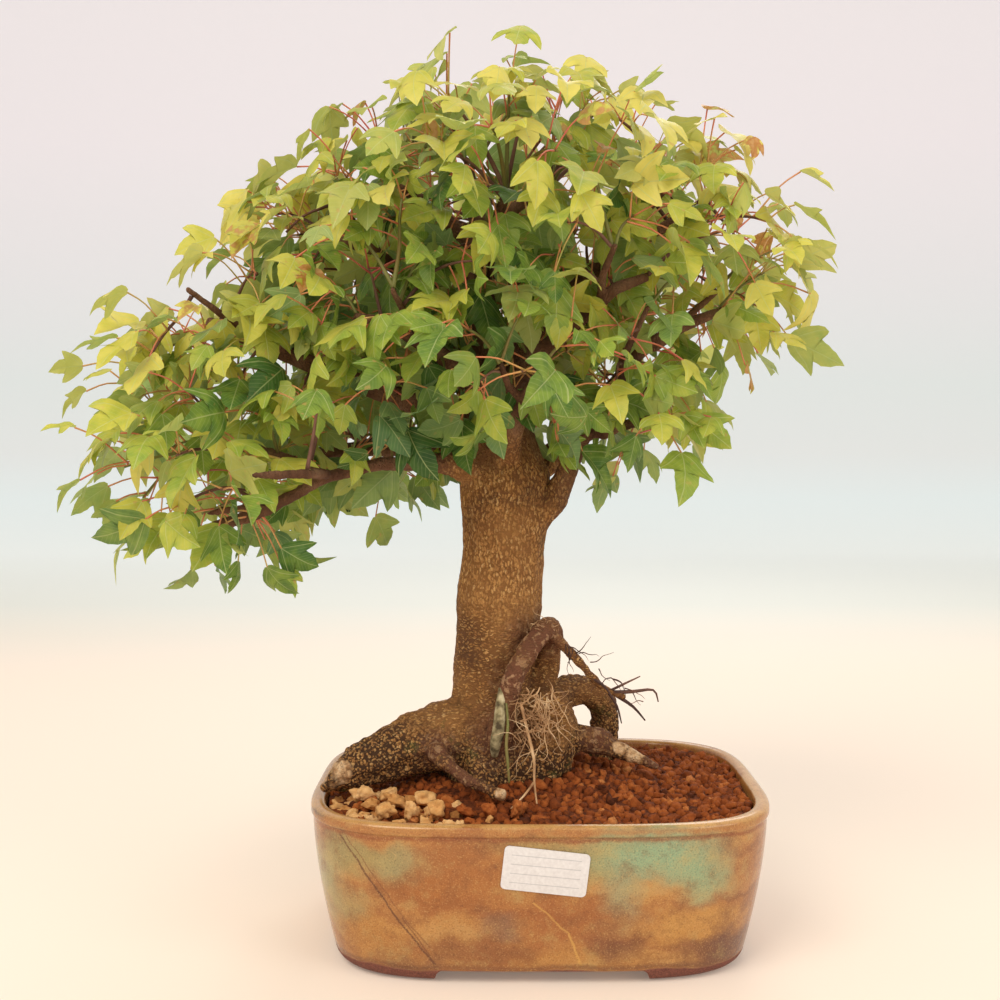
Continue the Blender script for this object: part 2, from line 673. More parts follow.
def select_only(*objects: bpy.types.Object) -> None:
    """Deselects everything, then selects these objects and makes the first active."""
    bpy.ops.object.select_all(action="DESELECT")
    for obj in objects:
        obj.select_set(True)
    bpy.context.view_layer.objects.active = objects[0]


def apply_modifiers(obj: bpy.types.Object) -> None:
    """Applies each of the object's modifiers in turn."""
    select_only(obj)
    for modifier in list(obj.modifiers):
        bpy.ops.object.modifier_apply(modifier=modifier.name)


def settle(obj: bpy.types.Object) -> bpy.types.Object:
    """Moves the object's place, turn and size into its mesh."""
    select_only(obj)
    bpy.ops.object.transform_apply(location=True, rotation=True, scale=True)
    return obj


def new_object(name: str, mesh: bpy.types.Mesh) -> bpy.types.Object:
    """Links a mesh into the scene as an object at the origin."""
    obj = bpy.data.objects.new(name, mesh)
    bpy.context.scene.collection.objects.link(obj)
    return obj


def merged_copy(node: str, name: str) -> bpy.types.Object:
    """A copy of a CAD node's mesh with its loose triangles joined up.

    Args:
        node: The CAD node.
        name: The copy's name.

    Returns:
        The copy, at the origin.
    """
    obj = new_object(name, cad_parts[node].data.copy())
    obj.data.materials.clear()
    select_only(obj)
    bpy.ops.object.mode_set(mode="EDIT")
    bpy.ops.mesh.select_all(action="SELECT")
    bpy.ops.mesh.remove_doubles(threshold=0.00001)
    bpy.ops.object.mode_set(mode="OBJECT")
    return obj


def dress(
    obj: bpy.types.Object, finish: Finish, stands_for: Iterable[str] = ()
) -> bpy.types.Object:
    """Gives a finished piece its material, and says what it stands for.

    Args:
        obj: The piece.
        finish: Its finish.
        stands_for: The CAD nodes that it replaces.

    Returns:
        The piece.
    """
    obj.data.materials.clear()
    obj.data.materials.append(MATERIALS.of(finish))
    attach(obj, "root")
    nodes = list(stands_for)
    if nodes:
        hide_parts(*nodes)
    log.info("%s: %d faces", obj.name, len(obj.data.polygons))
    return obj


class MaterialShelf:
    """Makes each finish's material once."""

    def __init__(self) -> None:
        """Starts with none made."""
        self.made: dict[Finish, bpy.types.Material] = {}

    def of(self, finish: Finish) -> bpy.types.Material:
        """The material of a finish."""
        if finish not in self.made:
            self.made[finish] = finish.value.material()
        return self.made[finish]


MATERIALS = MaterialShelf()

# One tube is a list of (x, y, z, radius).
Path = Sequence[tuple[float, float, float, float]]


def smooth_path(points: Path, steps: int = 5) -> list[Vector]:
    """A smooth curve through the given points.

    Args:
        points: Places with their radii.
        steps: Points made for each given one.

    Returns:
        Four-part vectors of place and radius.
    """
    padded = [points[0], *points, points[-1]]
    found = []
    for i in range(1, len(padded) - 2):
        a, b, c, d = (Vector(p) for p in padded[i - 1 : i + 3])
        for k in range(steps):
            t = k / steps
            found.append(
                0.5 * (2 * b + (c - a) * t + (2 * a - 5 * b + 4 * c - d) * t**2 + (3 * b - 3 * c + d - a) * t**3)
            )
    return [*found, Vector(points[-1])]


def tubes(name: str, paths: Iterable[Path], sides: int = 6, steps: int = 4) -> bpy.types.Object:
    """One piece of many tapering round stems, each closed at both ends.

    Args:
        name: The piece's name.
        paths: The stems' centre lines and radii, in the frame.
        sides: How many sides a stem has; even numbers from 4.
        steps: Points made for each given one; 1 keeps the given points alone.

    Returns:
        The piece.
    """
    curve = bpy.data.curves.new(name, "CURVE")
    curve.dimensions = "3D"
    curve.bevel_depth = 1.0
    curve.bevel_resolution = max(sides // 2 - 2, 0)
    curve.use_fill_caps = True
    for points in paths:
        path = smooth_path(points, steps) if steps > 1 else [Vector(p) for p in points]
        spline = curve.splines.new("POLY")
        spline.points.add(len(path) - 1)
        for point, place in zip(spline.points, path, strict=True):
            point.co = (*place[:3], 1.0)
            point.radius = place[3]
    obj = new_object(name, curve)
    select_only(obj)
    bpy.ops.object.convert(target="MESH")
    obj = bpy.context.active_object
    bpy.ops.object.mode_set(mode="EDIT")
    bpy.ops.mesh.select_all(action="SELECT")
    bpy.ops.mesh.remove_doubles(threshold=0.000001)
    bpy.ops.mesh.normals_make_consistent(inside=False)
    bpy.ops.object.mode_set(mode="OBJECT")
    bpy.ops.object.shade_smooth()
    return obj


@dataclass
class Shape:
    """A small shape kept as arrays, to be set down many times in one mesh."""

    points: np.ndarray
    faces: np.ndarray
    sizes: np.ndarray
    uvs: np.ndarray | None = None

    @classmethod
    def of(cls, obj: bpy.types.Object) -> "Shape":
        """Reads an object's mesh, then removes the object.

        Args:
            obj: The object.

        Returns:
            Its shape.
        """
        mesh = obj.data
        points = np.empty(len(mesh.vertices) * 3)
        mesh.vertices.foreach_get("co", points)
        faces = np.empty(len(mesh.loops), int)
        mesh.loops.foreach_get("vertex_index", faces)
        sizes = np.empty(len(mesh.polygons), int)
        mesh.polygons.foreach_get("loop_total", sizes)
        uvs = None
        if mesh.uv_layers:
            uvs = np.empty(len(mesh.loops) * 2)
            mesh.uv_layers[0].data.foreach_get("uv", uvs)
            uvs = uvs.reshape(-1, 2)
        bpy.data.objects.remove(obj)
        return cls(points.reshape(-1, 3), faces, sizes, uvs)


@dataclass
class Placed:
    """One shape as it is set down: its own bent points, and its values for the material's attributes."""

    shape: Shape
    points: np.ndarray
    values: dict[str, float]


def scatter(name: str, placed: Sequence[Placed]) -> bpy.types.Object:
    """Joins placed shapes into one piece.

    Args:
        name: The piece's name.
        placed: The shapes.

    Returns:
        The piece, smooth-shaded, with one value per shape for each attribute.
    """
    counts = [len(p.points) for p in placed]
    starts = np.concatenate([[0], np.cumsum(counts)[:-1]])
    points = np.concatenate([p.points for p in placed])
    loops = np.concatenate([p.shape.faces + s for p, s in zip(placed, starts, strict=True)])
    sizes = np.concatenate([p.shape.sizes for p in placed])
    mesh = bpy.data.meshes.new(name)
    mesh.vertices.add(len(points))
    mesh.vertices.foreach_set("co", points.ravel())
    mesh.loops.add(len(loops))
    mesh.loops.foreach_set("vertex_index", loops)
    mesh.polygons.add(len(sizes))
    mesh.polygons.foreach_set("loop_start", np.concatenate([[0], np.cumsum(sizes)[:-1]]))
    mesh.update(calc_edges=True)
    mesh.polygons.foreach_set("use_smooth", np.ones(len(sizes), bool))
    for key in placed[0].values:
        layer = mesh.attributes.new(key, "FLOAT", "POINT")
        values = np.concatenate([np.full(n, p.values[key]) for n, p in zip(counts, placed, strict=True)])
        layer.data.foreach_set("value", values.astype(np.float32))
    if placed[0].shape.uvs is not None:
        layer = mesh.uv_layers.new(name="leaf")
        layer.data.foreach_set("uv", np.concatenate([p.shape.uvs for p in placed]).ravel())
    mesh.validate()
    return new_object(name, mesh)


# ---------------------------------------------------------------- pot


@dataclass
class Pot:
    """A slab-sided rectangular pot with full round corners, a plain rim and four bracket feet."""

    width: float = POT_HIGH.x - POT_LOW.x
    depth: float = POT_HIGH.y - POT_LOW.y
    height: float = POT_HIGH.z - POT_LOW.z
    corner_power: float = 4.0
    wall: float = 6.5 * MM
    floor: float = 8 * MM
    foot_height: float = 6 * MM
    foot_length_x: float = 46 * MM
    foot_length_y: float = 36 * MM
    foot_slant: float = 4 * MM
    taper: float = 12 * MM
    taper_power: float = 1.6
    rim_band: float = 5.5 * MM
    rim_ledge: float = 1.0 * MM
    base_rounding: float = 5 * MM
    inner_rounding: float = 8 * MM
    drain_radius: float = 8 * MM
    drain_x: float = 45 * MM
    segments: int = 128

    def outer_inset(self, z: float) -> float:
        """How far the outside stands in from the rim's outline at a height."""
        top = self.height - self.rim_band
        if z >= top:
            return 0.0
        inset = self.rim_ledge + (self.taper - self.rim_ledge) * (1 - z / top) ** self.taper_power
        if z < self.base_rounding:
            drop = 1 - z / self.base_rounding
            inset += self.base_rounding * (1 - math.sqrt(1 - drop * drop))
        return inset

    def inner_inset(self, z: float) -> float:
        """How far the inside stands in from the rim's outline at a height."""
        inset = self.outer_inset(max(z, 5 * MM)) + self.wall
        over = z - self.foot_height - self.floor
        if over < self.inner_rounding:
            drop = 1 - over / self.inner_rounding
            inset += self.inner_rounding * (1 - math.sqrt(max(1 - drop * drop, 0.0)))
        return inset

    def outline(self, angle: float, inset: float) -> tuple[float, float]:
        """A point of the rounded rectangle at an angle, moved inwards by inset."""
        c, s = math.cos(angle), math.sin(angle)
        power = 2 / self.corner_power
        return (
            (self.width / 2 - inset) * math.copysign(abs(c) ** power, c),
            (self.depth / 2 - inset) * math.copysign(abs(s) ** power, s),
        )

    def _levels(self) -> list[tuple[float, float]]:
        """The (height, inset) of each ring, from the outside of the base up and over the rim to the floor."""
        top = self.height - self.rim_band
        outer = [self.base_rounding * f for f in (0.0, 0.12, 0.3, 0.55, 0.8, 1.0)]
        outer += [self.base_rounding + (top - self.base_rounding) * k / 14 for k in range(1, 15)]
        rings = [(z, self.outer_inset(max(z - 1e-9, 0.0))) for z in outer]
        # The rim stands out by a small rounded ledge and rolls over to the inside.
        ledge = self.rim_ledge
        rings += [(top + 0.2 * MM, ledge * 0.7), (top + 0.7 * MM, ledge * 0.15), (top + 1.2 * MM, 0.0)]
        half = self.wall / 2
        roll = 2.2 * MM
        for k in range(0, 11):
            turn = math.pi * k / 10
            rings.append((self.height - roll + roll * math.sin(turn), half - half * math.cos(turn)))
        inside_low = self.foot_height + self.floor + self.inner_rounding
        span = self.height - roll - inside_low
        down = [inside_low + span * (1 - k / 8) for k in range(1, 9)]
        rings += [(z, self.inner_inset(z)) for z in down]
        for k in range(1, 7):
            z = inside_low - self.inner_rounding * math.sin(math.pi / 2 * k / 6)
            rings.append((z, self.inner_inset(z)))
        return rings

    def _shell(self) -> bpy.types.Object:
        """The thrown shell: a ring extruded and shaped level by level, closed under and inside.

        Returns:
            The shell, measured from the pot's centre.
        """
        bpy.ops.object.select_all(action="DESELECT")
        bpy.ops.mesh.primitive_circle_add(vertices=self.segments, radius=1.0, fill_type="NGON")
        obj = bpy.context.active_object
        obj.name = "glazed_pot"
        levels = self._levels()
        bpy.ops.object.mode_set(mode="EDIT")
        bm = bmesh.from_edit_mesh(obj.data)
        ring = sorted(bm.verts, key=lambda v: math.atan2(v.co.y, v.co.x))
        self._shape_ring(ring, *levels[0])
        bmesh.update_edit_mesh(obj.data)
        bpy.ops.mesh.select_all(action="SELECT")
        for z, inset in levels[1:]:
            bpy.ops.mesh.extrude_region_move()
            bm = bmesh.from_edit_mesh(obj.data)
            ring = sorted((v for v in bm.verts if v.select), key=lambda v: math.atan2(v.co.y, v.co.x))
            self._shape_ring(ring, z, inset)
            bmesh.update_edit_mesh(obj.data)
        bpy.ops.mesh.inset(thickness=0.02, use_boundary=True)
        bpy.ops.mesh.select_all(action="SELECT")
        bpy.ops.mesh.normals_make_consistent(inside=False)
        bpy.ops.object.mode_set(mode="OBJECT")
        return obj

    def _shape_ring(self, ring: Sequence[bmesh.types.BMVert], z: float, inset: float) -> None:
        """Sets a ring of points to the pot's outline at a height, keeping their order round it."""
        for n, vert in enumerate(ring):
            vert.co = (*self.outline(2 * math.pi * (n + 0.5) / len(ring) - math.pi, inset), z)

    def _cutter(self, size: Vector, place: Vector, flare: Vector) -> bpy.types.Object:
        """A block that is wider at its foot, for the slots between the feet.

        Args:
            size: Its size at the top.
            place: The middle of its top.
            flare: How much longer it is on each side at the bottom.

        Returns:
            The cutter.
        """
        bpy.ops.object.select_all(action="DESELECT")
        bpy.ops.mesh.primitive_cube_add(size=1.0, location=place - Vector((0, 0, size.z / 2)), scale=size)
        cutter = settle(bpy.context.active_object)
        bpy.ops.object.mode_set(mode="EDIT")
        bm = bmesh.from_edit_mesh(cutter.data)
        for vert in bm.verts:
            if vert.co.z < place.z - size.z / 2:
                vert.co.x += math.copysign(flare.x, vert.co.x)
                vert.co.y += math.copysign(flare.y, vert.co.y)
        bpy.ops.mesh.select_all(action="DESELECT")
        bm.edges.ensure_lookup_table()
        for edge in bm.edges:
            edge.select = all(v.co.z > place.z - size.z / 2 for v in edge.verts)
        bmesh.update_edit_mesh(cutter.data)
        bpy.ops.mesh.bevel(offset=2.2 * MM, segments=5, affect="EDGES")
        bpy.ops.object.mode_set(mode="OBJECT")
        return cutter

    def _cut(self, obj: bpy.types.Object, cutter: bpy.types.Object) -> None:
        """Takes a cutter's shape out of the pot."""
        modifier = obj.modifiers.new("cut", "BOOLEAN")
        modifier.operation = "DIFFERENCE"
        modifier.object = cutter
        modifier.solver = "EXACT"
        apply_modifiers(obj)
        bpy.data.objects.remove(cutter)

    def build(self) -> bpy.types.Object:
        """Throws, cuts and glazes the pot.

        Returns:
            The finished pot.
        """
        obj = self._shell()
        slot = self.foot_height + 20 * MM
        base = self.outer_inset(0.0)
        across_x = self.width - 2 * base - 2 * self.foot_length_x
        across_y = self.depth - 2 * base - 2 * self.foot_length_y
        flare = self.foot_slant * slot / (2 * self.foot_height)
        top = Vector((0, 0, self.foot_height))
        self._cut(obj, self._cutter(Vector((across_x, 0.4, slot)), top, Vector((flare, 0, 0))))
        self._cut(obj, self._cutter(Vector((0.4, across_y, slot)), top, Vector((0, flare, 0))))
        for side in (-1, 1):
            bpy.ops.object.select_all(action="DESELECT")
            bpy.ops.mesh.primitive_cylinder_add(
                vertices=48, radius=self.drain_radius, depth=0.05, location=(side * self.drain_x, 0, 0)
            )
            self._cut(obj, settle(bpy.context.active_object))
        obj.location = HOME
        settle(obj)
        select_only(obj)
        bpy.ops.object.shade_smooth_by_angle(angle=math.radians(38))
        return dress(obj, Finish.GLAZE, ["pot"])


@dataclass
class Label:
    """The blank paper sticker on the pot's front: satin white, printed with faint ruled lines."""

    def dress(self) -> None:
        """Finishes the CAD label as printed paper."""
        material, add = new_material("satin_label_paper")
        low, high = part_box("label")
        middle = (low + high) / 2
        place = add("TexCoord").outputs["Object"]
        square = add(
            "Mapping", {"Vector": place, "Location": tuple(middle), "Rotation": (0, math.radians(5.6), 0)},
            vector_type="TEXTURE",
        )
        split = add("SeparateXYZ", {0: square})
        # Four ruled lines, 4 mm apart, and an empty box at the right-hand end.
        rows = add("Math", {0: split.outputs["Z"], 1: 1 / (4.2 * MM)}, operation="MULTIPLY")
        step = add("Math", {0: rows}, operation="FRACT")
        off = add("Math", {0: step, 1: 0.5}, operation="SUBTRACT")
        size = add("Math", {0: off}, operation="ABSOLUTE")
        line = add("MapRange", {0: size, 1: 0.06, 2: 0.03, 3: 0.0, 4: 0.35})
        left = add("Math", {0: split.outputs["X"], 1: 0.0, 2: 15.5 * MM}, operation="COMPARE")
        tall = add("Math", {0: split.outputs["Z"], 1: 0.0, 2: 7.0 * MM}, operation="COMPARE")
        inside = add("Math", {0: left, 1: tall}, operation="MULTIPLY")
        drawn = add("Math", {0: line, 1: inside}, operation="MULTIPLY")
        fibre = add("TexNoise", {"Vector": place, "Scale": 700.0, "Detail": 3.0})
        paper = add("ValToRGB", {0: fibre}, stops=[(0.3, "#DAD6D4"), (0.7, "#E8E5E3")])
        colour = add("MixRGB", {0: drawn, 1: paper, 2: "#6E7078"})
        bump = add("Bump", {"Strength": 0.12, "Distance": 0.0002, "Height": fibre})
        shader = add("BsdfPrincipled", {"Base Color": colour, "Roughness": 0.38, "Normal": bump})
        add("OutputMaterial", {0: shader})
        self._give("label", material)
        for side in ("left", "right"):
            self._give(f"drain_mesh_{side}", MATERIALS.of(Finish.MESH_PLASTIC))
        log.info("label and drain meshes dressed")

    def _give(self, node: str, material: bpy.types.Material) -> None:
        """Puts a material on a CAD node that stays as it is."""
        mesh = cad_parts[node].data
        mesh.materials.clear()
        mesh.materials.append(material)


# ---------------------------------------------------------------- soil


def bvh_of(obj: bpy.types.Object) -> BVHTree:
    """A search tree over an object's mesh, in the frame."""
    return BVHTree.FromPolygons([v.co for v in obj.data.vertices], [p.vertices for p in obj.data.polygons])


def turned(rng: random.Random) -> np.ndarray:
    """A random turn in space, as a 3 x 3 array."""
    axis = Vector((rng.gauss(0, 1), rng.gauss(0, 1), rng.gauss(0, 1))).normalized()
    return np.array(Matrix.Rotation(rng.uniform(0, 2 * math.pi), 3, axis))


@dataclass
class Soil:
    """Red-brown akadama granules on their bed, with pale river pebbles in the front left corner."""

    wood: BVHTree
    grain_spacing: float = 3.5 * MM
    grain_radius: tuple[float, float, float] = (1.3 * MM, 3.8 * MM, 2.1 * MM)
    coarse_radius: tuple[float, float] = (2.3 * MM, 4.7 * MM)
    seed: int = 7

    def __post_init__(self) -> None:
        """Prepares the random numbers and the bed."""
        self.rng = random.Random(self.seed)
        self.bed = merged_copy("soil", "akadama_bed")
        self.ground = bvh_of(self.bed)

    def _lump(self, name: str, level: int, jag: float, keep: float) -> Shape:
        """A lump of unit radius, knocked about by hand.

        Args:
            name: Its name while it is made.
            level: How fine the ball that it starts from is.
            jag: How far its points move.
            keep: Share of its faces kept.

        Returns:
            The lump's shape.
        """
        bpy.ops.object.select_all(action="DESELECT")
        bpy.ops.mesh.primitive_ico_sphere_add(subdivisions=level, radius=1.0)
        obj = bpy.context.active_object
        obj.name = name
        turn = self.rng.uniform(0, 9)
        bpy.ops.object.mode_set(mode="EDIT")
        bm = bmesh.from_edit_mesh(obj.data)
        flats = [
            Vector((self.rng.gauss(0, 1), self.rng.gauss(0, 1), self.rng.gauss(0, 1))).normalized()
            for _ in range(5)
        ]
        for vert in bm.verts:
            direction = vert.co.normalized()
            size = 1 + jag * noise.noise(direction * 1.4 + Vector((turn, 0, 0))) * 1.6
            size += jag * 0.45 * noise.noise(direction * 3.6 + Vector((0, turn, 0)))
            size += jag * 0.22 * noise.noise(direction * 8.0 + Vector((0, 0, turn)))
            for flat in flats:
                reach = direction.dot(flat)
                if reach > 0.45:
                    size = min(size, (0.78 + 0.05 * noise.noise(direction * 6)) / reach)
            vert.co = direction * size
        bmesh.update_edit_mesh(obj.data)
        bpy.ops.mesh.select_all(action="SELECT")
        bpy.ops.transform.resize(value=(1.12, 0.98, 0.86))
        bpy.ops.object.mode_set(mode="OBJECT")
        settle(obj)
        if keep < 1:
            modifier = obj.modifiers.new("fewer", "DECIMATE")
            modifier.ratio = keep
            apply_modifiers(obj)
        return Shape.of(obj)

    def _surface(self, x: float, y: float) -> float | None:
        """Height of the bed at a place, or None outside it."""
        hit = self.ground.ray_cast(Vector((x, y, RIM_Z + 0.1)), -UP)[0]
        return None if hit is None else hit.z

    def _clear_of_wood(self, place: Vector, radius: float) -> bool:
        """Whether a grain here stands clear of the roots and trunk."""
        near, normal, _, away = self.wood.find_nearest(place)
        return away > radius * 0.45 and (place - near).dot(normal) > 0

    def _within(self, x: float, y: float, inset: float) -> bool:
        """Whether a place is inside the pot's wall by at least inset."""
        half_x = (POT_HIGH.x - POT_LOW.x) / 2 - inset
        half_y = (POT_HIGH.y - POT_LOW.y) / 2 - inset
        return (abs(x - HOME.x) / half_x) ** 4 + (abs(y - HOME.y) / half_y) ** 4 < 1

    def _spread(self, gap: float, tries: int, inset: float) -> list[tuple[float, float]]:
        """Places over the bed no closer together than gap.

        Args:
            gap: The least distance between two places.
            tries: How many places to try.
            inset: How far inside the pot's rim they stay.

        Returns:
            The places kept.
        """
        kept: dict[tuple[int, int], list[tuple[float, float]]] = {}
        found = []
        for _ in range(tries):
            x = HOME.x + self.rng.uniform(-0.105, 0.105)
            y = HOME.y + self.rng.uniform(-0.083, 0.083)
            if not self._within(x, y, inset):
                continue
            cell = (int(x // gap), int(y // gap))
            near = [
                q
                for i in (-1, 0, 1)
                for j in (-1, 0, 1)
                for q in kept.get((cell[0] + i, cell[1] + j), [])
            ]
            if all((x - q[0]) ** 2 + (y - q[1]) ** 2 > gap * gap for q in near):
                kept.setdefault(cell, []).append((x, y))
                found.append((x, y))
        return found

    def _grain(
        self,
        shapes: Sequence[Shape],
        x: float,
        y: float,
        radius: float,
        sunk: float,
        shade: float,
    ) -> Placed | None:
        """Sets one grain on the bed.

        Args:
            shapes: The lumps to choose from.
            x: Its place.
            y: Its place.
            radius: Its mean radius.
            sunk: Share of its radius below the bed.
            shade: How pale it is, from 0 to 1.

        Returns:
            The grain, or None where it would stand in the wood or outside the pot.
        """
        height = self._surface(x, y)
        if height is None:
            return None
        place = Vector((x, y, height - sunk * radius))
        if not self._clear_of_wood(place, radius):
            return None
        shape = self.rng.choice(list(shapes))
        size = radius * np.array([self.rng.uniform(0.88, 1.14) for _ in range(3)])
        points = (shape.points * size) @ turned(self.rng).T + np.array(place)
        return Placed(shape, points, {"shade": shade})

    def _corner(self, x: float, y: float) -> float:
        """How far into the stony front left corner a place is, from 0 to 1."""
        dx = (x - (HOME.x - 0.074)) / 0.038
        dy = (y - (HOME.y - 0.062)) / 0.026
        return max(0.0, 1 - math.hypot(dx, dy) * 0.60)

    def build(self) -> list[bpy.types.Object]:
        """Lays the bed, its granules and the pebbles.

        Returns:
            The finished pieces.
        """
        fine = [self._lump(f"grain_{n}", 2, 0.66, 0.6) for n in range(8)]
        smooth = [self._lump(f"pebble_{n}", 4, 0.45, 1.0) for n in range(8)]
        pieces = [dress(self.bed, Finish.CLAY, ["soil"])]
        shade = self.bed.data.attributes.new("shade", "FLOAT", "POINT")
        shade.data.foreach_set("value", np.full(len(self.bed.data.vertices), 0.12, np.float32))
        stones, coarse, taken = [], [], []
        pale_nodes, brown_nodes = [], []
        for n in range(1, 12):
            low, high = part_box(f"pebble_{n:02d}")
            middle, size = (low + high) / 2, (high - low) / 2
            shape = smooth[n % len(smooth)]
            points = (shape.points * np.array(size) * 0.98) @ turned(self.rng).T + np.array(middle)
            pale = middle.x < HOME.x - 0.040
            grain = Placed(shape, points, {"shade": self.rng.uniform(0.35, 0.85)})
            (stones if pale else coarse).append(grain)
            (pale_nodes if pale else brown_nodes).append(f"pebble_{n:02d}")
            taken.append((middle, max(size)))
        for x, y in self._spread(4.8 * MM, 9000, 11.0 * MM):
            corner = self._corner(x, y)
            if self.rng.random() > 0.04 + 2.6 * corner:
                continue
            radius = self.rng.uniform(*self.coarse_radius)
            place = Vector((x, y, self._surface(x, y) or 0.0))
            if any((place - m).length < (r + radius) * 0.78 for m, r in taken):
                continue
            pale = self.rng.random() < 1.55 * corner + 0.01
            grain = self._grain(smooth, x, y, radius, 0.25, self.rng.uniform(0.2, 0.95))
            if grain:
                (stones if pale else coarse).append(grain)
                taken.append((place, radius))
        grains = []
        for x, y in self._spread(self.grain_spacing, 60000, 8.6 * MM):
            radius = self.rng.triangular(*self.grain_radius)
            place = Vector((x, y, self._surface(x, y) or 0.0))
            if any((place - m).length < r + radius * 0.3 for m, r in taken):
                continue
            shade_value = min(max(self.rng.gauss(0.46, 0.20), 0.0), 1.0)
            grain = self._grain(fine, x, y, radius, self.rng.uniform(-0.25, 0.35), shade_value)
            if grain:
                grains.append(grain)
        pieces.append(dress(scatter("akadama_granules", grains), Finish.CLAY))
        pieces.append(dress(scatter("coarse_akadama", coarse), Finish.CLAY, brown_nodes))
        pieces.append(dress(scatter("pale_pebbles", stones), Finish.PALE_STONE, pale_nodes))
        return pieces


# ---------------------------------------------------------------- wood


@dataclass(frozen=True)
class Bared:
    """A stretch of root or wood whose bark is gone or of another colour, in pot space."""

    centre: tuple[float, float, float]
    radius: float
    strength: float = 1.0


@dataclass(frozen=True)
class Slimmed:
    """A stretch of root that stands thinner than its solid, from one place in pot space to another."""

    start: tuple[float, float, float]
    end: tuple[float, float, float]
    kept: tuple[float, float]
    reach: float = 0.0085


@dataclass
class Wood:
    """The trunk with its exposed roots and limbs, then the fine roots, rootlets, stubs and twigs on it."""

    voxel: float = 0.95 * MM
    kept_faces: float = 0.55
    peeled: tuple[Bared, ...] = (
        Bared((-0.1000, -0.0345, 0.0855), 0.0080, 0.85), Bared((-0.0950, -0.0380, 0.0880), 0.0070, 0.70),
        Bared((-0.0180, -0.0550, 0.0805), 0.0032, 1.0), Bared((0.0400, -0.0120, 0.0915), 0.0052, 0.95),
        Bared((0.0470, -0.0150, 0.0885), 0.0048, 0.95), Bared((-0.0090, 0.0090, 0.3280), 0.0080, 0.9),
    )
    reddish: tuple[Bared, ...] = (
        Bared((-0.0185, -0.0300, 0.1040), 0.0130, 0.8), Bared((-0.0120, -0.0310, 0.1280), 0.0120, 0.9),
        Bared((0.0000, -0.0240, 0.1470), 0.0130, 0.9), Bared((0.0070, -0.0100, 0.1490), 0.0110, 0.8),
        Bared((-0.0480, -0.0340, 0.0950), 0.0090, 0.7), Bared((-0.0360, -0.0470, 0.0870), 0.0110, 0.8),
        Bared((0.0290, -0.0080, 0.0955), 0.0080, 0.8), Bared((0.0570, -0.0195, 0.0850), 0.0065, 0.8),
    )
    slimmed: tuple[Slimmed, ...] = (
        Slimmed((-0.0500, -0.0310, 0.0970), (-0.0360, -0.0470, 0.0855), (0.78, 0.56)),
        Slimmed((-0.0360, -0.0470, 0.0855), (-0.0150, -0.0560, 0.0785), (0.56, 0.46)),
        Slimmed((0.0280, -0.0078, 0.0955), (0.0440, -0.0128, 0.0895), (1.00, 0.66)),
        Slimmed((0.0440, -0.0128, 0.0895), (0.0600, -0.0210, 0.0835), (0.66, 0.52)),
        Slimmed((0.0050, -0.0055, 0.2130), (0.0185, -0.0100, 0.2395), (0.84, 0.62), 0.0130),
        Slimmed((0.0185, -0.0100, 0.2395), (0.0300, -0.0180, 0.2655), (0.62, 0.62), 0.0110),
        Slimmed((0.0300, -0.0180, 0.2655), (0.0490, -0.0220, 0.2885), (0.62, 0.75)),
        Slimmed((-0.0440, -0.0150, 0.2340), (-0.0750, -0.0360, 0.2340), (0.82, 0.62), 0.0100),
        Slimmed((-0.0750, -0.0360, 0.2340), (-0.1000, -0.0490, 0.2285), (0.62, 0.66)),
        Slimmed((-0.1000, -0.0490, 0.2285), (-0.1260, -0.0540, 0.2135), (0.66, 0.80)),
    )
    root_cut: tuple[tuple[float, float, float], tuple[float, float, float]] = (
        (-0.0908, -0.0330, 0.0972), (-0.823, 0.0, 0.568),
    )
    seed: int = 19

    def _slim(self, place: Vector) -> Vector:
        """Where a point of the wood moves to when its root is pared down.

        Args:
            place: The point, in pot space.

        Returns:
            Its new place.
        """
        best = None
        for part in self.slimmed:
            start, end = Vector(part.start), Vector(part.end)
            share = min(max(intersect_point_line(place, start, end)[1], 0.0), 1.0)
            near = start.lerp(end, share)
            away = (place - near).length
            if away < part.reach and (best is None or away < best[0]):
                kept = part.kept[0] + (part.kept[1] - part.kept[0]) * share
                best = (away, near, 1 - (1 - kept) * min((part.reach - away) / 0.0020, 1.0))
        if best:
            _, near, kept = best
            place = near + (place - near) * kept
        cut, way = Vector(self.root_cut[0]), Vector(self.root_cut[1]).normalized()
        proud = (place - cut).dot(way)
        if place.x < -0.080 and place.z < 0.13 and proud > 0:
            place = place - way * proud * 0.92
        return place

    def _carve(self, obj: bpy.types.Object) -> None:
        """Raises bark plates, lumps and fissures on the wood, coarser towards the roots."""
        mesh = obj.data
        points = [v.co.copy() for v in mesh.vertices]
        normals = [v.normal.copy() for v in mesh.vertices]
        for vert, point, normal in zip(mesh.vertices, points, normals, strict=True):
            p = point - HOME
            low = min(max((0.165 - p.z) / 0.06, 0.0), 1.0)
            fine = min(max((p.z - 0.235) / 0.03, 0.0), 1.0)
            lumps = noise.noise(p * 95) * (0.00045 + 0.0010 * low)
            knobs = abs(noise.noise(p * 230 + Vector((3, 1, 5)))) * (0.0004 + 0.0010 * low)
            tall = Vector((p.x, p.y, p.z * 0.22))
            ridge = 1 - 2 * abs(noise.noise(tall * 330 + Vector((7, 2, 4))))
            furrow = ridge * 0.00042 * (1 - 0.4 * low)
            vert.co = point + normal * (lumps + knobs + furrow) * (1 - 0.70 * fine)

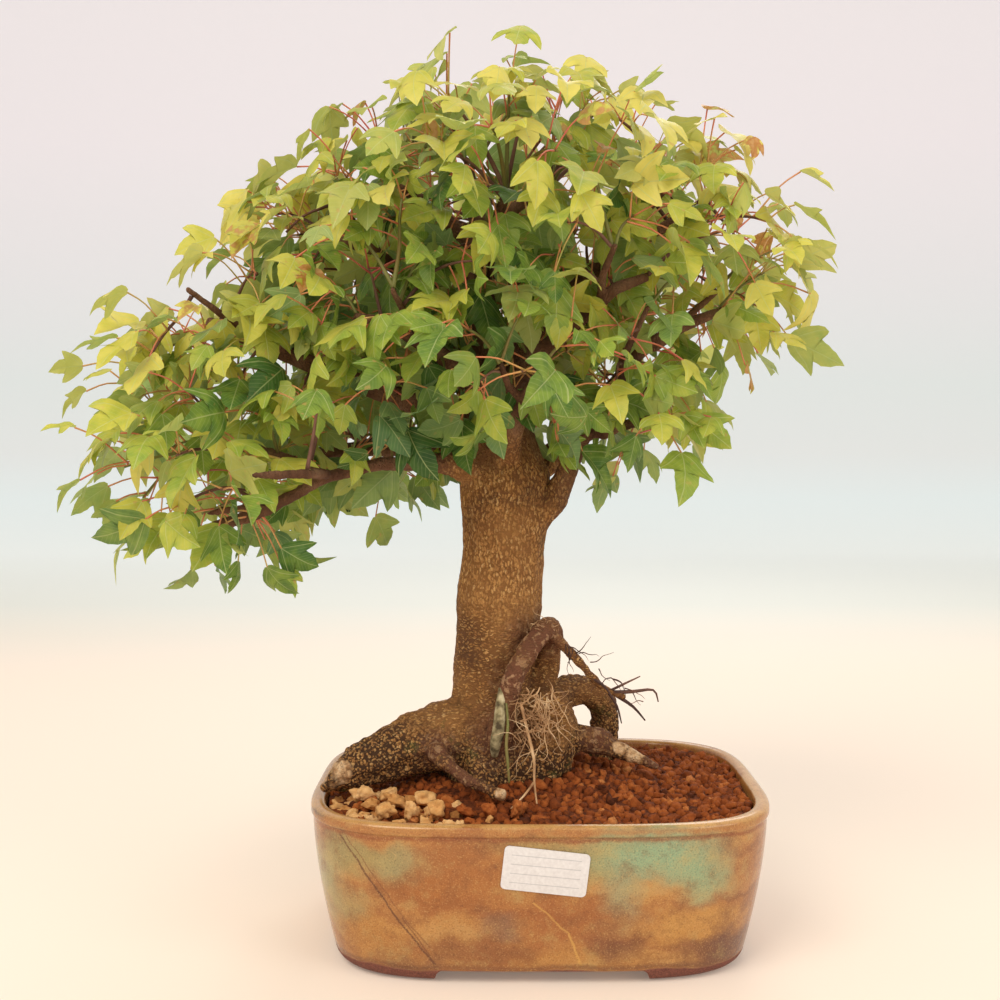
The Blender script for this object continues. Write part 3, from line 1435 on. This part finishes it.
    def _mark(self, mesh: bpy.types.Mesh, name: str, places: Sequence[Bared]) -> None:
        """Writes how far each point lies in any of some stretches.

        Args:
            mesh: The wood.
            name: The attribute's name.
            places: The stretches.
        """
        points = np.empty(len(mesh.vertices) * 3)
        mesh.vertices.foreach_get("co", points)
        points = points.reshape(-1, 3) - np.array(HOME)
        total = np.zeros(len(points))
        for place in places:
            away = np.linalg.norm(points - np.array(place.centre), axis=1) / place.radius
            total = np.maximum(total, place.strength * np.clip(1.6 - away, 0, 1))
        mesh.attributes.new(name, "FLOAT", "POINT").data.foreach_set("value", total.astype(np.float32))

    def _trunk(self) -> bpy.types.Object:
        """The CAD tree's shape, melted together at its joints and given bark.

        Returns:
            The wood.
        """
        obj = merged_copy("tree", "trunk_and_roots")
        melt = obj.modifiers.new("melt", "REMESH")
        melt.mode = "VOXEL"
        melt.voxel_size = self.voxel
        ease = obj.modifiers.new("ease", "SMOOTH")
        ease.factor = 0.6
        ease.iterations = 6
        apply_modifiers(obj)
        for vert in obj.data.vertices:
            vert.co = HOME + self._slim(vert.co - HOME)
        obj.data.update()
        self._carve(obj)
        fewer = obj.modifiers.new("fewer", "DECIMATE")
        fewer.ratio = self.kept_faces
        apply_modifiers(obj)
        self._mark(obj.data, "peeled", self.peeled)
        self._mark(obj.data, "reddish", self.reddish)
        select_only(obj)
        bpy.ops.object.shade_smooth()
        return obj

    def _wander(
        self,
        rng: random.Random,
        start: Vector,
        aim: Vector,
        length: float,
        radius: float,
        bends: int,
        sway: float,
    ) -> Path:
        """A thin root or twig that wanders as it goes.

        Args:
            rng: Random numbers.
            start: Where it begins.
            aim: The way that it sets off.
            length: Its length.
            radius: Its radius where it begins.
            bends: How many times it turns.
            sway: How sharply it turns.

        Returns:
            Its line and radii.
        """
        place, way = start.copy(), aim.normalized()
        path = [(*place, radius)]
        for n in range(bends):
            way = (way + sway * Vector((rng.gauss(0, 1), rng.gauss(0, 1), rng.gauss(0, 1)))).normalized()
            place = place + way * (length / bends)
            path.append((*place, radius * (1 - 0.75 * (n + 1) / bends)))
        return path

    def _fine_roots(self) -> list[bpy.types.Object]:
        """Hair roots, the aerial root's tips, rootlets on the trunk, cut stubs and dead twigs.

        Returns:
            The finished pieces.
        """
        rng = random.Random(self.seed)
        hair: list[Path] = []
        for _ in range(70):
            start = from_pot(rng.uniform(-0.013, 0.008), rng.uniform(-0.031, -0.025), rng.uniform(0.104, 0.126))
            aim = Vector((rng.uniform(-0.25, 0.85), rng.uniform(-0.6, -0.05), rng.uniform(-1.2, -0.15)))
            length, radius = rng.uniform(0.012, 0.038), rng.uniform(0.20, 0.42) * MM
            hair.append(self._wander(rng, start, aim, length, radius, 7, 0.48))
        long_root = [(-0.009, -0.0300, 0.118, 0.0008), (-0.006, -0.0350, 0.106, 0.0008), (-0.003, -0.0420, 0.094, 0.0008),
                     (-0.003, -0.0500, 0.085, 0.0006), (-0.002, -0.0590, 0.0772, 0.0004)]
        fork = [(-0.003, -0.0500, 0.085, 0.0006), (-0.008, -0.0560, 0.080, 0.0005), (-0.014, -0.0600, 0.0752, 0.0003)]
        for line in (long_root, fork):
            hair.append([(*from_pot(*p[:3]), p[3]) for p in line])
        for _ in range(14):
            start = from_pot(rng.uniform(-0.006, 0.006), rng.uniform(-0.020, -0.014), rng.uniform(0.150, 0.156))
            aim = Vector((rng.uniform(-0.2, 0.8), rng.uniform(-0.8, -0.2), rng.uniform(-0.4, 0.6)))
            hair.append(self._wander(rng, start, aim, rng.uniform(0.007, 0.016), 0.25 * MM, 4, 0.35))
        dark: list[Path] = []
        for line in (
            [(0.036, -0.0212, 0.1215, 0.0012), (0.046, -0.0212, 0.1220, 0.0009), (0.0559, -0.020, 0.1225, 0.0006),
             (0.0585, -0.019, 0.1165, 0.0003)],
            [(0.038, -0.0213, 0.1200, 0.0011), (0.046, -0.0208, 0.1145, 0.0008), (0.0520, -0.020, 0.1075, 0.0004)],
            [(0.033, -0.0210, 0.1230, 0.0009), (0.038, -0.0220, 0.1150, 0.0006), (0.0403, -0.022, 0.1065, 0.0003)],
            [(0.034, -0.0210, 0.1220, 0.0008), (0.042, -0.0235, 0.1265, 0.0006), (0.0491, -0.024, 0.1300, 0.0003)],
            [(0.026, -0.0205, 0.1285, 0.0008), (0.032, -0.0260, 0.1250, 0.0006), (0.0360, -0.031, 0.1190, 0.0003)],
        ):
            dark.append([(*from_pot(*p[:3]), p[3]) for p in line])
        for _ in range(18):
            share = rng.random()
            start = from_pot(0.012 + 0.040 * share, -0.020, 0.146 - 0.030 * share)
            aim = Vector((rng.uniform(-0.3, 0.9), rng.uniform(-0.9, 0.5), rng.uniform(-1, 0.2)))
            dark.append(self._wander(rng, start, aim, rng.uniform(0.007, 0.016), 0.32 * MM, 5, 0.35))
        rootlet = [(-0.0160, -0.0345, 0.1190, 0.0005), (-0.0152, -0.0360, 0.1090, 0.0007), (-0.0160, -0.0375, 0.1000, 0.0008),
                   (-0.0152, -0.0385, 0.0900, 0.0007), (-0.0146, -0.0390, 0.0815, 0.0005)]
        stub = [(-0.0180, -0.0290, 0.1250, 0.0018), (-0.0188, -0.0330, 0.1160, 0.0027), (-0.0196, -0.0345, 0.1070, 0.0030),
                (-0.0212, -0.0345, 0.0990, 0.0027), (-0.0216, -0.0320, 0.0930, 0.0016)]
        green = [[(*from_pot(*p[:3]), p[3]) for p in rootlet]]
        mossy = [[(*from_pot(*p[:3]), p[3]) for p in stub]]
        for _ in range(9):
            start = from_pot(-0.052 + rng.uniform(-0.014, 0.010), rng.uniform(-0.012, 0.010), 0.390)
            aim = Vector((rng.uniform(-0.30, 0.15), rng.uniform(-0.25, 0.25), 1.0))
            green.append(self._wander(rng, start, aim, rng.uniform(0.020, 0.036), 0.8 * MM, 4, 0.10))
        return [
            dress(tubes("hair_roots", hair, 6, 3), Finish.FINE_ROOT),
            dress(tubes("dark_rootlets", dark, 6, 3), Finish.DARK_ROOT),
            dress(tubes("mossy_stub_root", mossy, 12, 5), Finish.MOSSY_ROOT),
            dress(tubes("green_rootlets_and_cut_twigs", green, 8, 4), Finish.GREEN_TWIG),
        ]

    def build(self) -> tuple[bpy.types.Object, BVHTree]:
        """Makes the wood and all that grows from it below the leaves.

        Returns:
            The trunk's piece and a search tree over it.
        """
        trunk = self._trunk()
        found = bvh_of(trunk)
        dress(trunk, Finish.BARK, ["tree"])
        self._fine_roots()
        return trunk, found


# ---------------------------------------------------------------- leaves


@dataclass(frozen=True)
class Pad:
    """One rounded mass of the crown, in pot space."""

    centre: tuple[float, float, float]
    radii: tuple[float, float, float]

    def depth(self, place: Vector) -> float:
        """How far inside the mass a place is, as a share of its radii; negative outside."""
        away = place - Vector(self.centre)
        return 1 - math.sqrt(sum((away[i] / self.radii[i]) ** 2 for i in range(3)))

    def outward(self, place: Vector) -> Vector:
        """The way out of the mass from a place."""
        away = place - Vector(self.centre)
        return Vector(away[i] / self.radii[i] ** 2 for i in range(3)).normalized()


@dataclass
class Crown:
    """Some hundreds of twigs, each with a few pairs of three-lobed leaves on long red stalks."""

    trunk: bpy.types.Object
    wood: BVHTree
    pads: tuple[Pad, ...] = (
        Pad((-0.014, 0.000, 0.360), (0.106, 0.108, 0.070)),
        Pad((0.070, 0.000, 0.343), (0.064, 0.080, 0.046)),
        Pad((0.079, -0.005, 0.316), (0.055, 0.068, 0.036)),
        Pad((0.036, -0.010, 0.286), (0.046, 0.066, 0.032)),
        Pad((0.056, -0.025, 0.254), (0.026, 0.032, 0.026)),
        Pad((-0.092, 0.000, 0.326), (0.074, 0.092, 0.054)),
        Pad((-0.150, -0.010, 0.270), (0.070, 0.076, 0.046)),
        Pad((-0.158, -0.030, 0.226), (0.062, 0.070, 0.038)),
        Pad((-0.080, -0.020, 0.270), (0.062, 0.090, 0.038)),
        Pad((-0.015, -0.020, 0.290), (0.085, 0.100, 0.046)),
        Pad((-0.108, 0.052, 0.246), (0.058, 0.052, 0.040)),
        Pad((0.054, 0.050, 0.286), (0.052, 0.052, 0.040)),
        Pad((-0.020, 0.080, 0.318), (0.080, 0.056, 0.050)),
    )
    outline: tuple[tuple[float, float], ...] = (
        (-0.03, 0.07), (0.01, 0.17), (0.10, 0.27), (0.22, 0.36), (0.34, 0.43), (0.45, 0.485), (0.56, 0.50),
        (0.55, 0.42), (0.51, 0.34), (0.48, 0.245), (0.555, 0.23), (0.64, 0.235), (0.72, 0.195), (0.79, 0.17),
        (0.86, 0.105), (0.93, 0.055),
    )
    leaf_length: tuple[float, float, float] = (0.013, 0.031, 0.021)
    stalk_length: tuple[float, float] = (0.013, 0.032)
    twig_gap: float = 0.0235
    inset: float = 0.020
    seed: int = 5

    def _leaf(self) -> Shape:
        """One flat leaf of unit length, from its stalk at the origin to its tip on +X.

        Returns:
            Its shape, with its own plan as UVs.
        """
        bpy.ops.object.select_all(action="DESELECT")
        half = list(self.outline)
        ring = [(0.0, 0.0), *half, (1.0, 0.0), *[(x, -y) for x, y in reversed(half)]]
        bpy.ops.mesh.primitive_circle_add(vertices=len(ring), radius=1.0, fill_type="NOTHING")
        obj = bpy.context.active_object
        bpy.ops.object.mode_set(mode="EDIT")
        bm = bmesh.from_edit_mesh(obj.data)
        order = sorted(bm.verts, key=lambda v: v.index)
        for vert, (x, y) in zip(order, ring, strict=True):
            vert.co = (x, y, 0)
        bmesh.update_edit_mesh(obj.data)
        bpy.ops.mesh.select_all(action="SELECT")
        bpy.ops.mesh.extrude_edges_move()
        bm = bmesh.from_edit_mesh(obj.data)
        middle = Vector((0.40, 0, 0))
        for vert in bm.verts:
            if vert.select:
                vert.co = middle + (vert.co - middle) * 0.52
        bmesh.update_edit_mesh(obj.data)
        bpy.ops.mesh.edge_face_add()
        bpy.ops.mesh.poke()
        bpy.ops.mesh.select_all(action="SELECT")
        bpy.ops.mesh.normals_make_consistent(inside=False)
        bpy.ops.object.mode_set(mode="OBJECT")
        mesh = obj.data
        if mesh.polygons[0].normal.z < 0:
            mesh.flip_normals()
        while mesh.uv_layers:
            mesh.uv_layers.remove(mesh.uv_layers[0])
        layer = mesh.uv_layers.new(name="leaf")
        for loop in mesh.loops:
            x, y, _ = mesh.vertices[loop.vertex_index].co
            layer.data[loop.index].uv = (x, y + 0.5)
        return Shape.of(obj)

    def _bent(self, shape: Shape, rng: random.Random) -> np.ndarray:
        """A leaf's points folded along its midrib, drooped, twisted and waved.

        Args:
            shape: The flat leaf.
            rng: Random numbers.

        Returns:
            The bent points.
        """
        x, y = shape.points[:, 0].copy(), shape.points[:, 1].copy()
        fold, droop = rng.uniform(0.0, 0.75) ** 1.3, rng.uniform(0.05, 1.1)
        sag, wave = rng.uniform(0.05, 0.85), rng.uniform(0, 2 * math.pi)
        z = fold * np.abs(y) - sag * y**2 * 1.6
        z += 0.060 * np.sin(9 * x + wave) * np.abs(y) * 2
        z += 0.045 * np.sin(6 * y + wave * 1.7) * x
        angle = droop * x
        bent_x = x * np.cos(angle * 0.55)
        z = z - x * np.sin(angle * 0.55)
        twist = rng.uniform(-0.35, 0.35) * x
        return np.stack([bent_x, y * np.cos(twist) - z * np.sin(twist), y * np.sin(twist) + z * np.cos(twist)], 1)

    def _depth(self, place: Vector) -> tuple[float, Pad]:
        """How deep a place of pot space is in the crown, as a length, and the pad it is deepest in."""
        found = [(pad.depth(place) * min(pad.radii), pad) for pad in self.pads]
        return max(found, key=lambda pair: pair[0])

    def _tips(
        self, rng: random.Random, shallow: float, deep: float, gap: float, tries: int
    ) -> list[tuple[Vector, Vector, float]]:
        """Places for twig tips within a range of depths in the crown.

        Args:
            rng: Random numbers.
            shallow: The least depth.
            deep: The greatest depth.
            gap: The least distance between two tips.
            tries: How many places to try.

        Returns:
            Each tip's place in pot space, its way out of the crown, and its depth.
        """
        found: list[tuple[Vector, Vector, float]] = []
        for _ in range(tries):
            pad = rng.choice(self.pads)
            place = Vector(pad.centre[i] + pad.radii[i] * rng.uniform(-1, 1) for i in range(3))
            depth, mine = self._depth(place)
            if not shallow < depth < deep:
                continue
            if any((place - other[0]).length_squared < gap * gap for other in found):
                continue
            found.append((place, mine.outward(place), depth))
        return found

    def _twig(self, rng: random.Random, tip: Vector, out: Vector, root: Vector) -> Path:
        """A twig from the nearest wood to a tip, setting off upwards and arching over.

        Args:
            rng: Random numbers.
            tip: Its far end.
            out: The way out of the crown there.
            root: Where it leaves the wood.

        Returns:
            Its line and radii, in the frame.
        """
        run = tip - root
        length = run.length
        lift = UP * length * rng.uniform(0.02, 0.16)
        one = root + run * 0.33 + lift - out * length * 0.04
        two = root + run * 0.68 + lift * 0.9
        thick = min(0.0007 + 0.011 * length, 0.0017)
        return [(*root, thick), (*one, thick * 0.82), (*two, thick * 0.62), (*tip, 0.00055)]

    def _blade(
        self,
        shape: Shape,
        rng: random.Random,
        base: Vector,
        along: Vector,
        face: Vector,
        size: float,
        values: dict[str, float],
    ) -> Placed:
        """Sets one leaf down.

        Args:
            shape: The flat leaf.
            rng: Random numbers.
            base: Where its stalk meets it.
            along: The way that its tip points.
            face: The way that its upper side looks.
            size: Its length.
            values: Its tone and blemish.

        Returns:
            The leaf.
        """
        side = face.cross(along).normalized()
        top = along.cross(side).normalized()
        frame_ = np.array([along, side, top])
        points = (self._bent(shape, rng) * size) @ frame_ + np.array(base)
        return Placed(shape, points, values)

    def build(self) -> list[bpy.types.Object]:
        """Grows the twigs, stalks and leaves.

        Returns:
            The finished pieces.
        """
        rng = random.Random(self.seed)
        leaf = self._leaf()
        sprays = sorted(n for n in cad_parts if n.startswith("leaf_spray_"))
        centres = []
        for name in sprays:
            low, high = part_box(name)
            centres.append((low + high) / 2 - HOME)
        wood_points = [v.co for v in self.trunk.data.vertices if v.co.z - HOME.z > 0.215][::7]
        search = KDTree(len(wood_points))
        for n, point in enumerate(wood_points):
            search.insert(point, n)
        search.balance()
        tips = self._tips(rng, self.inset * 0.55, self.inset * 1.9, self.twig_gap, 36000)
        tips += self._tips(rng, self.inset * 1.9, 0.075, self.twig_gap * 1.9, 4000)
        groups: list[list[Placed]] = [[] for _ in sprays]
        stalks: list[Path] = []
        brown: list[Path] = []
        green: list[Path] = []
        low_box, high_box = (Vector(c) for c in CAD_BOX)
        spare = 0.004
        for tip, out, depth in tips:
            end = HOME + tip
            root = search.find(end)[0]
            path = self._twig(rng, end, out, root)
            (green if rng.random() < 0.45 else brown).append(path)
            line = smooth_path(path, 4)
            for share in (0.62, 0.80, 0.97):
                at = line[min(int(share * (len(line) - 1)), len(line) - 2)]
                ahead = (line[-1].xyz - line[-3].xyz).normalized()
                turn = rng.uniform(0, math.pi)
                across = ahead.cross(UP).normalized()
                other = ahead.cross(across).normalized()
                spread = across * math.cos(turn) + other * math.sin(turn)
                for way in (1, -1):
                    if share < 0.7 and rng.random() < 0.45:
                        continue
                    reach = rng.uniform(*self.stalk_length)
                    jitter = Vector((rng.gauss(0, 0.25), rng.gauss(0, 0.25), rng.gauss(0, 0.20)))
                    aim = (spread * way * 0.85 + out * 0.65 + ahead * 0.35 + UP * 0.25 + jitter).normalized()
                    start = at.xyz
                    bend = start + aim * reach * 0.55 + UP * reach * 0.06
                    base = start + aim * reach - UP * reach * 0.05
                    flat = Vector((out.x, out.y, 0))
                    if flat.length < 0.25:
                        flat = Vector((aim.x, aim.y, 0))
                    flat = flat.normalized()
                    hang = rng.uniform(0.25, 1.05)
                    jitter = Vector((rng.gauss(0, 0.50), rng.gauss(0, 0.50), rng.gauss(0, 0.25)))
                    along = (flat * 0.75 + aim * 0.35 - UP * hang + jitter).normalized()
                    jitter = Vector((rng.gauss(0, 0.48), rng.gauss(0, 0.48), rng.gauss(0, 0.30)))
                    face = out * 0.75 + UP * 0.75 + jitter
                    face = (face - along * face.dot(along)).normalized()
                    size = rng.triangular(*self.leaf_length)
                    height = min(max((base.z - HOME.z - 0.20) / 0.22, 0.0), 1.0)
                    outer = 1 - min(max((depth - 0.010) / 0.035, 0.0), 1.0)
                    sunny = min(abs(tip.x + 0.03) / 0.17, 1.0)
                    tone = -0.02 + 0.46 * height + 0.30 * outer + 0.36 * sunny + 0.12 * max(out.z, 0)
                    tone += rng.gauss(0, 0.14)
                    sick = rng.random()
                    blemish = rng.uniform(0.40, 0.85) if sick < 0.035 else rng.uniform(0, 0.18)
                    size *= 0.72 if sick < 0.035 else 1.0
                    bloom = rng.uniform(0.15, 0.55) if rng.random() < 0.15 else 0.0
                    values = {"tone": min(max(tone, 0.0), 1.0), "blemish": blemish, "bloom": bloom}
                    blade = self._blade(leaf, rng, base, along, face, size, values)
                    if (blade.points.min(0) < np.array(low_box) - spare).any():
                        continue
                    if (blade.points.max(0) > np.array(high_box) + spare).any():
                        continue
                    stalks.append([(*start, 0.00052), (*bend, 0.00037), (*base, 0.00042)])
                    middle = base - HOME
                    best = min(range(len(centres)), key=lambda k: (centres[k] - middle).length_squared)
                    groups[best].append(blade)
        grown = [k for k, group in enumerate(groups) if group]
        stands_for = {k: [sprays[k]] for k in grown}
        for k in set(range(len(sprays))) - set(grown):
            near = min(grown, key=lambda g: (centres[g] - centres[k]).length_squared)
            stands_for[near].append(sprays[k])
        pieces = []
        for k, names in stands_for.items():
            piece = scatter(f"leaves_{sprays[k][-2:]}", groups[k])
            pieces.append(dress(piece, Finish.LEAF, names))
        pieces.append(dress(tubes("leaf_stalks", stalks, 4, 3), Finish.STALK))
        pieces.append(dress(tubes("brown_twigs", brown, 6, 4), Finish.BROWN_TWIG))
        pieces.append(dress(tubes("green_twigs", green, 6, 4), Finish.GREEN_TWIG))
        log.info("%d twigs and %d leaves", len(tips), sum(len(g) for g in groups))
        return pieces


# ---------------------------------------------------------------- studio


@dataclass
class Studio:
    """A pale floor that fades into a plain backdrop, soft lamps, and the camera."""

    camera_place: tuple[float, float, float] = (-0.019, -0.65, 0.243)
    camera_down: float = math.radians(2.5)
    lens: float = 46.73
    paper: tuple[tuple[float, str], ...] = (
        (0.044, "#E8D9C8"), (0.11, "#E0D9CB"), (0.18, "#DCDDD3"), (0.27, "#E4E7DF"), (0.378, "#EDF2EC"), (0.502, "#E9F2EF"),
        (0.584, "#E9ECE8"), (0.689, "#E7ECE8"), (0.822, "#EEECEB"), (0.978, "#F6EEEF"),
    )

    def _paper(self) -> bpy.types.Material:
        """Matt paper whose colour changes slowly along the sweep, warm in front and cool above.

        Returns:
            The material.
        """
        material, add = new_material("matt_paper")
        place = add("TexCoord")
        split = add("SeparateXYZ", {0: place.outputs["Object"]})
        along = add("Math", {0: split.outputs["Y"], 1: split.outputs["Z"]}, operation="ADD")
        share = add("MapRange", {0: along, 1: 0.5, 2: 5.0})
        colour = add("ValToRGB", {0: share}, stops=self.paper)
        shader = add(
            "BsdfPrincipled",
            {
                "Base Color": colour, "Roughness": 0.9, "Specular IOR Level": 0.0, "Emission Color": colour,
                "Emission Strength": 0.20,
            },
        )
        add("OutputMaterial", {0: shader})
        return material

    def _lamp(self, name: str, place: Vector, size: float, power: float, colour: str) -> None:
        """Hangs a square soft lamp that points at the tree.

        Args:
            name: Its name.
            place: Where it hangs.
            size: Its side.
            power: Its power in watts.
            colour: Its colour.
        """
        data = bpy.data.lights.new(name, "AREA")
        data.size = size
        data.energy = power
        data.color = linear(colour)[:3]
        lamp = bpy.data.objects.new(name, data)
        bpy.context.scene.collection.objects.link(lamp)
        lamp.location = place
        aim = from_pot(0, 0, 0.20) - place
        lamp.rotation_euler = aim.to_track_quat("-Z", "Y").to_euler()

    def _backdrop(self) -> None:
        """A sweep of matt paper: a floor that curves up into a wall behind the tree."""
        bpy.ops.object.select_all(action="DESELECT")
        low = CAD_BOX[0][2] - 0.0002
        bpy.ops.mesh.primitive_plane_add(size=1.0, location=(0, 0, low))
        sweep = bpy.context.active_object
        sweep.name = "paper_sweep"
        sweep.scale = (14.0, 7.0, 1.0)
        sweep.location.y = -1.4
        settle(sweep)
        bpy.ops.object.mode_set(mode="EDIT")
        bm = bmesh.from_edit_mesh(sweep.data)
        for edge in bm.edges:
            edge.select = all(v.co.y > 0 for v in edge.verts)
        bmesh.update_edit_mesh(sweep.data)
        bpy.ops.mesh.select_mode(type="EDGE")
        radius = 1.6
        for n in range(1, 17):
            turn, before = math.pi / 2 * n / 16, math.pi / 2 * (n - 1) / 16
            step = (0, radius * (math.sin(turn) - math.sin(before)), radius * (math.cos(before) - math.cos(turn)))
            bpy.ops.mesh.extrude_edges_move(TRANSFORM_OT_translate={"value": step})
        bpy.ops.mesh.extrude_edges_move(TRANSFORM_OT_translate={"value": (0, 0, 5.0)})
        bpy.ops.mesh.select_all(action="SELECT")
        bpy.ops.mesh.normals_make_consistent(inside=False)
        bpy.ops.object.mode_set(mode="OBJECT")
        bpy.ops.object.shade_smooth()
        sweep.data.materials.append(self._paper())

    def build(self) -> None:
        """Sets the backdrop, lamps and camera."""
        self._backdrop()
        scene = bpy.context.scene
        scene.view_settings.view_transform = "Standard"
        world = bpy.data.worlds.new("studio_air")
        world.use_nodes = True
        world.node_tree.nodes.clear()
        add = partial(add_node, world.node_tree)
        place = add("TexCoord")
        split = add("SeparateXYZ", {0: place.outputs["Generated"]})
        sky = add(
            "ValToRGB", {0: split.outputs["Z"]},
            stops=[(0.0, "#DFECEE"), (0.12, "#DDEAEC"), (0.30, "#E8E3E6"), (1.0, "#F2F0F0")],
        )
        air = add("Background", {0: sky, 1: 0.78})
        add("OutputWorld", {0: air})
        scene.world = world
        self._lamp("key_lamp", from_pot(-0.7, -1.0, 1.35), 0.9, 15.0, "#FFF4E6")
        self._lamp("fill_lamp", from_pot(1.1, -0.9, 0.8), 0.9, 6.5, "#FBF7F2")
        self._lamp("back_lamp", from_pot(0.3, 1.2, 1.2), 0.8, 6.5, "#FFFFFF")
        data = bpy.data.cameras.new("camera")
        data.lens = self.lens
        data.sensor_width = 36.0
        data.clip_start = 0.01
        camera = bpy.data.objects.new("camera", data)
        scene.collection.objects.link(camera)
        camera.location = from_pot(*self.camera_place)
        camera.rotation_euler = (math.pi / 2 - self.camera_down, 0, 0)
        scene.camera = camera


def main() -> None:
    """Builds every sub-assembly in order."""
    logging.basicConfig(level=logging.INFO, format="%(name)s: %(message)s")
    Studio().build()
    Pot().build()
    Label().dress()
    trunk, wood = Wood().build()
    Soil(wood).build()
    Crown(trunk, wood).build()


if __name__ == "__main__":
    main()
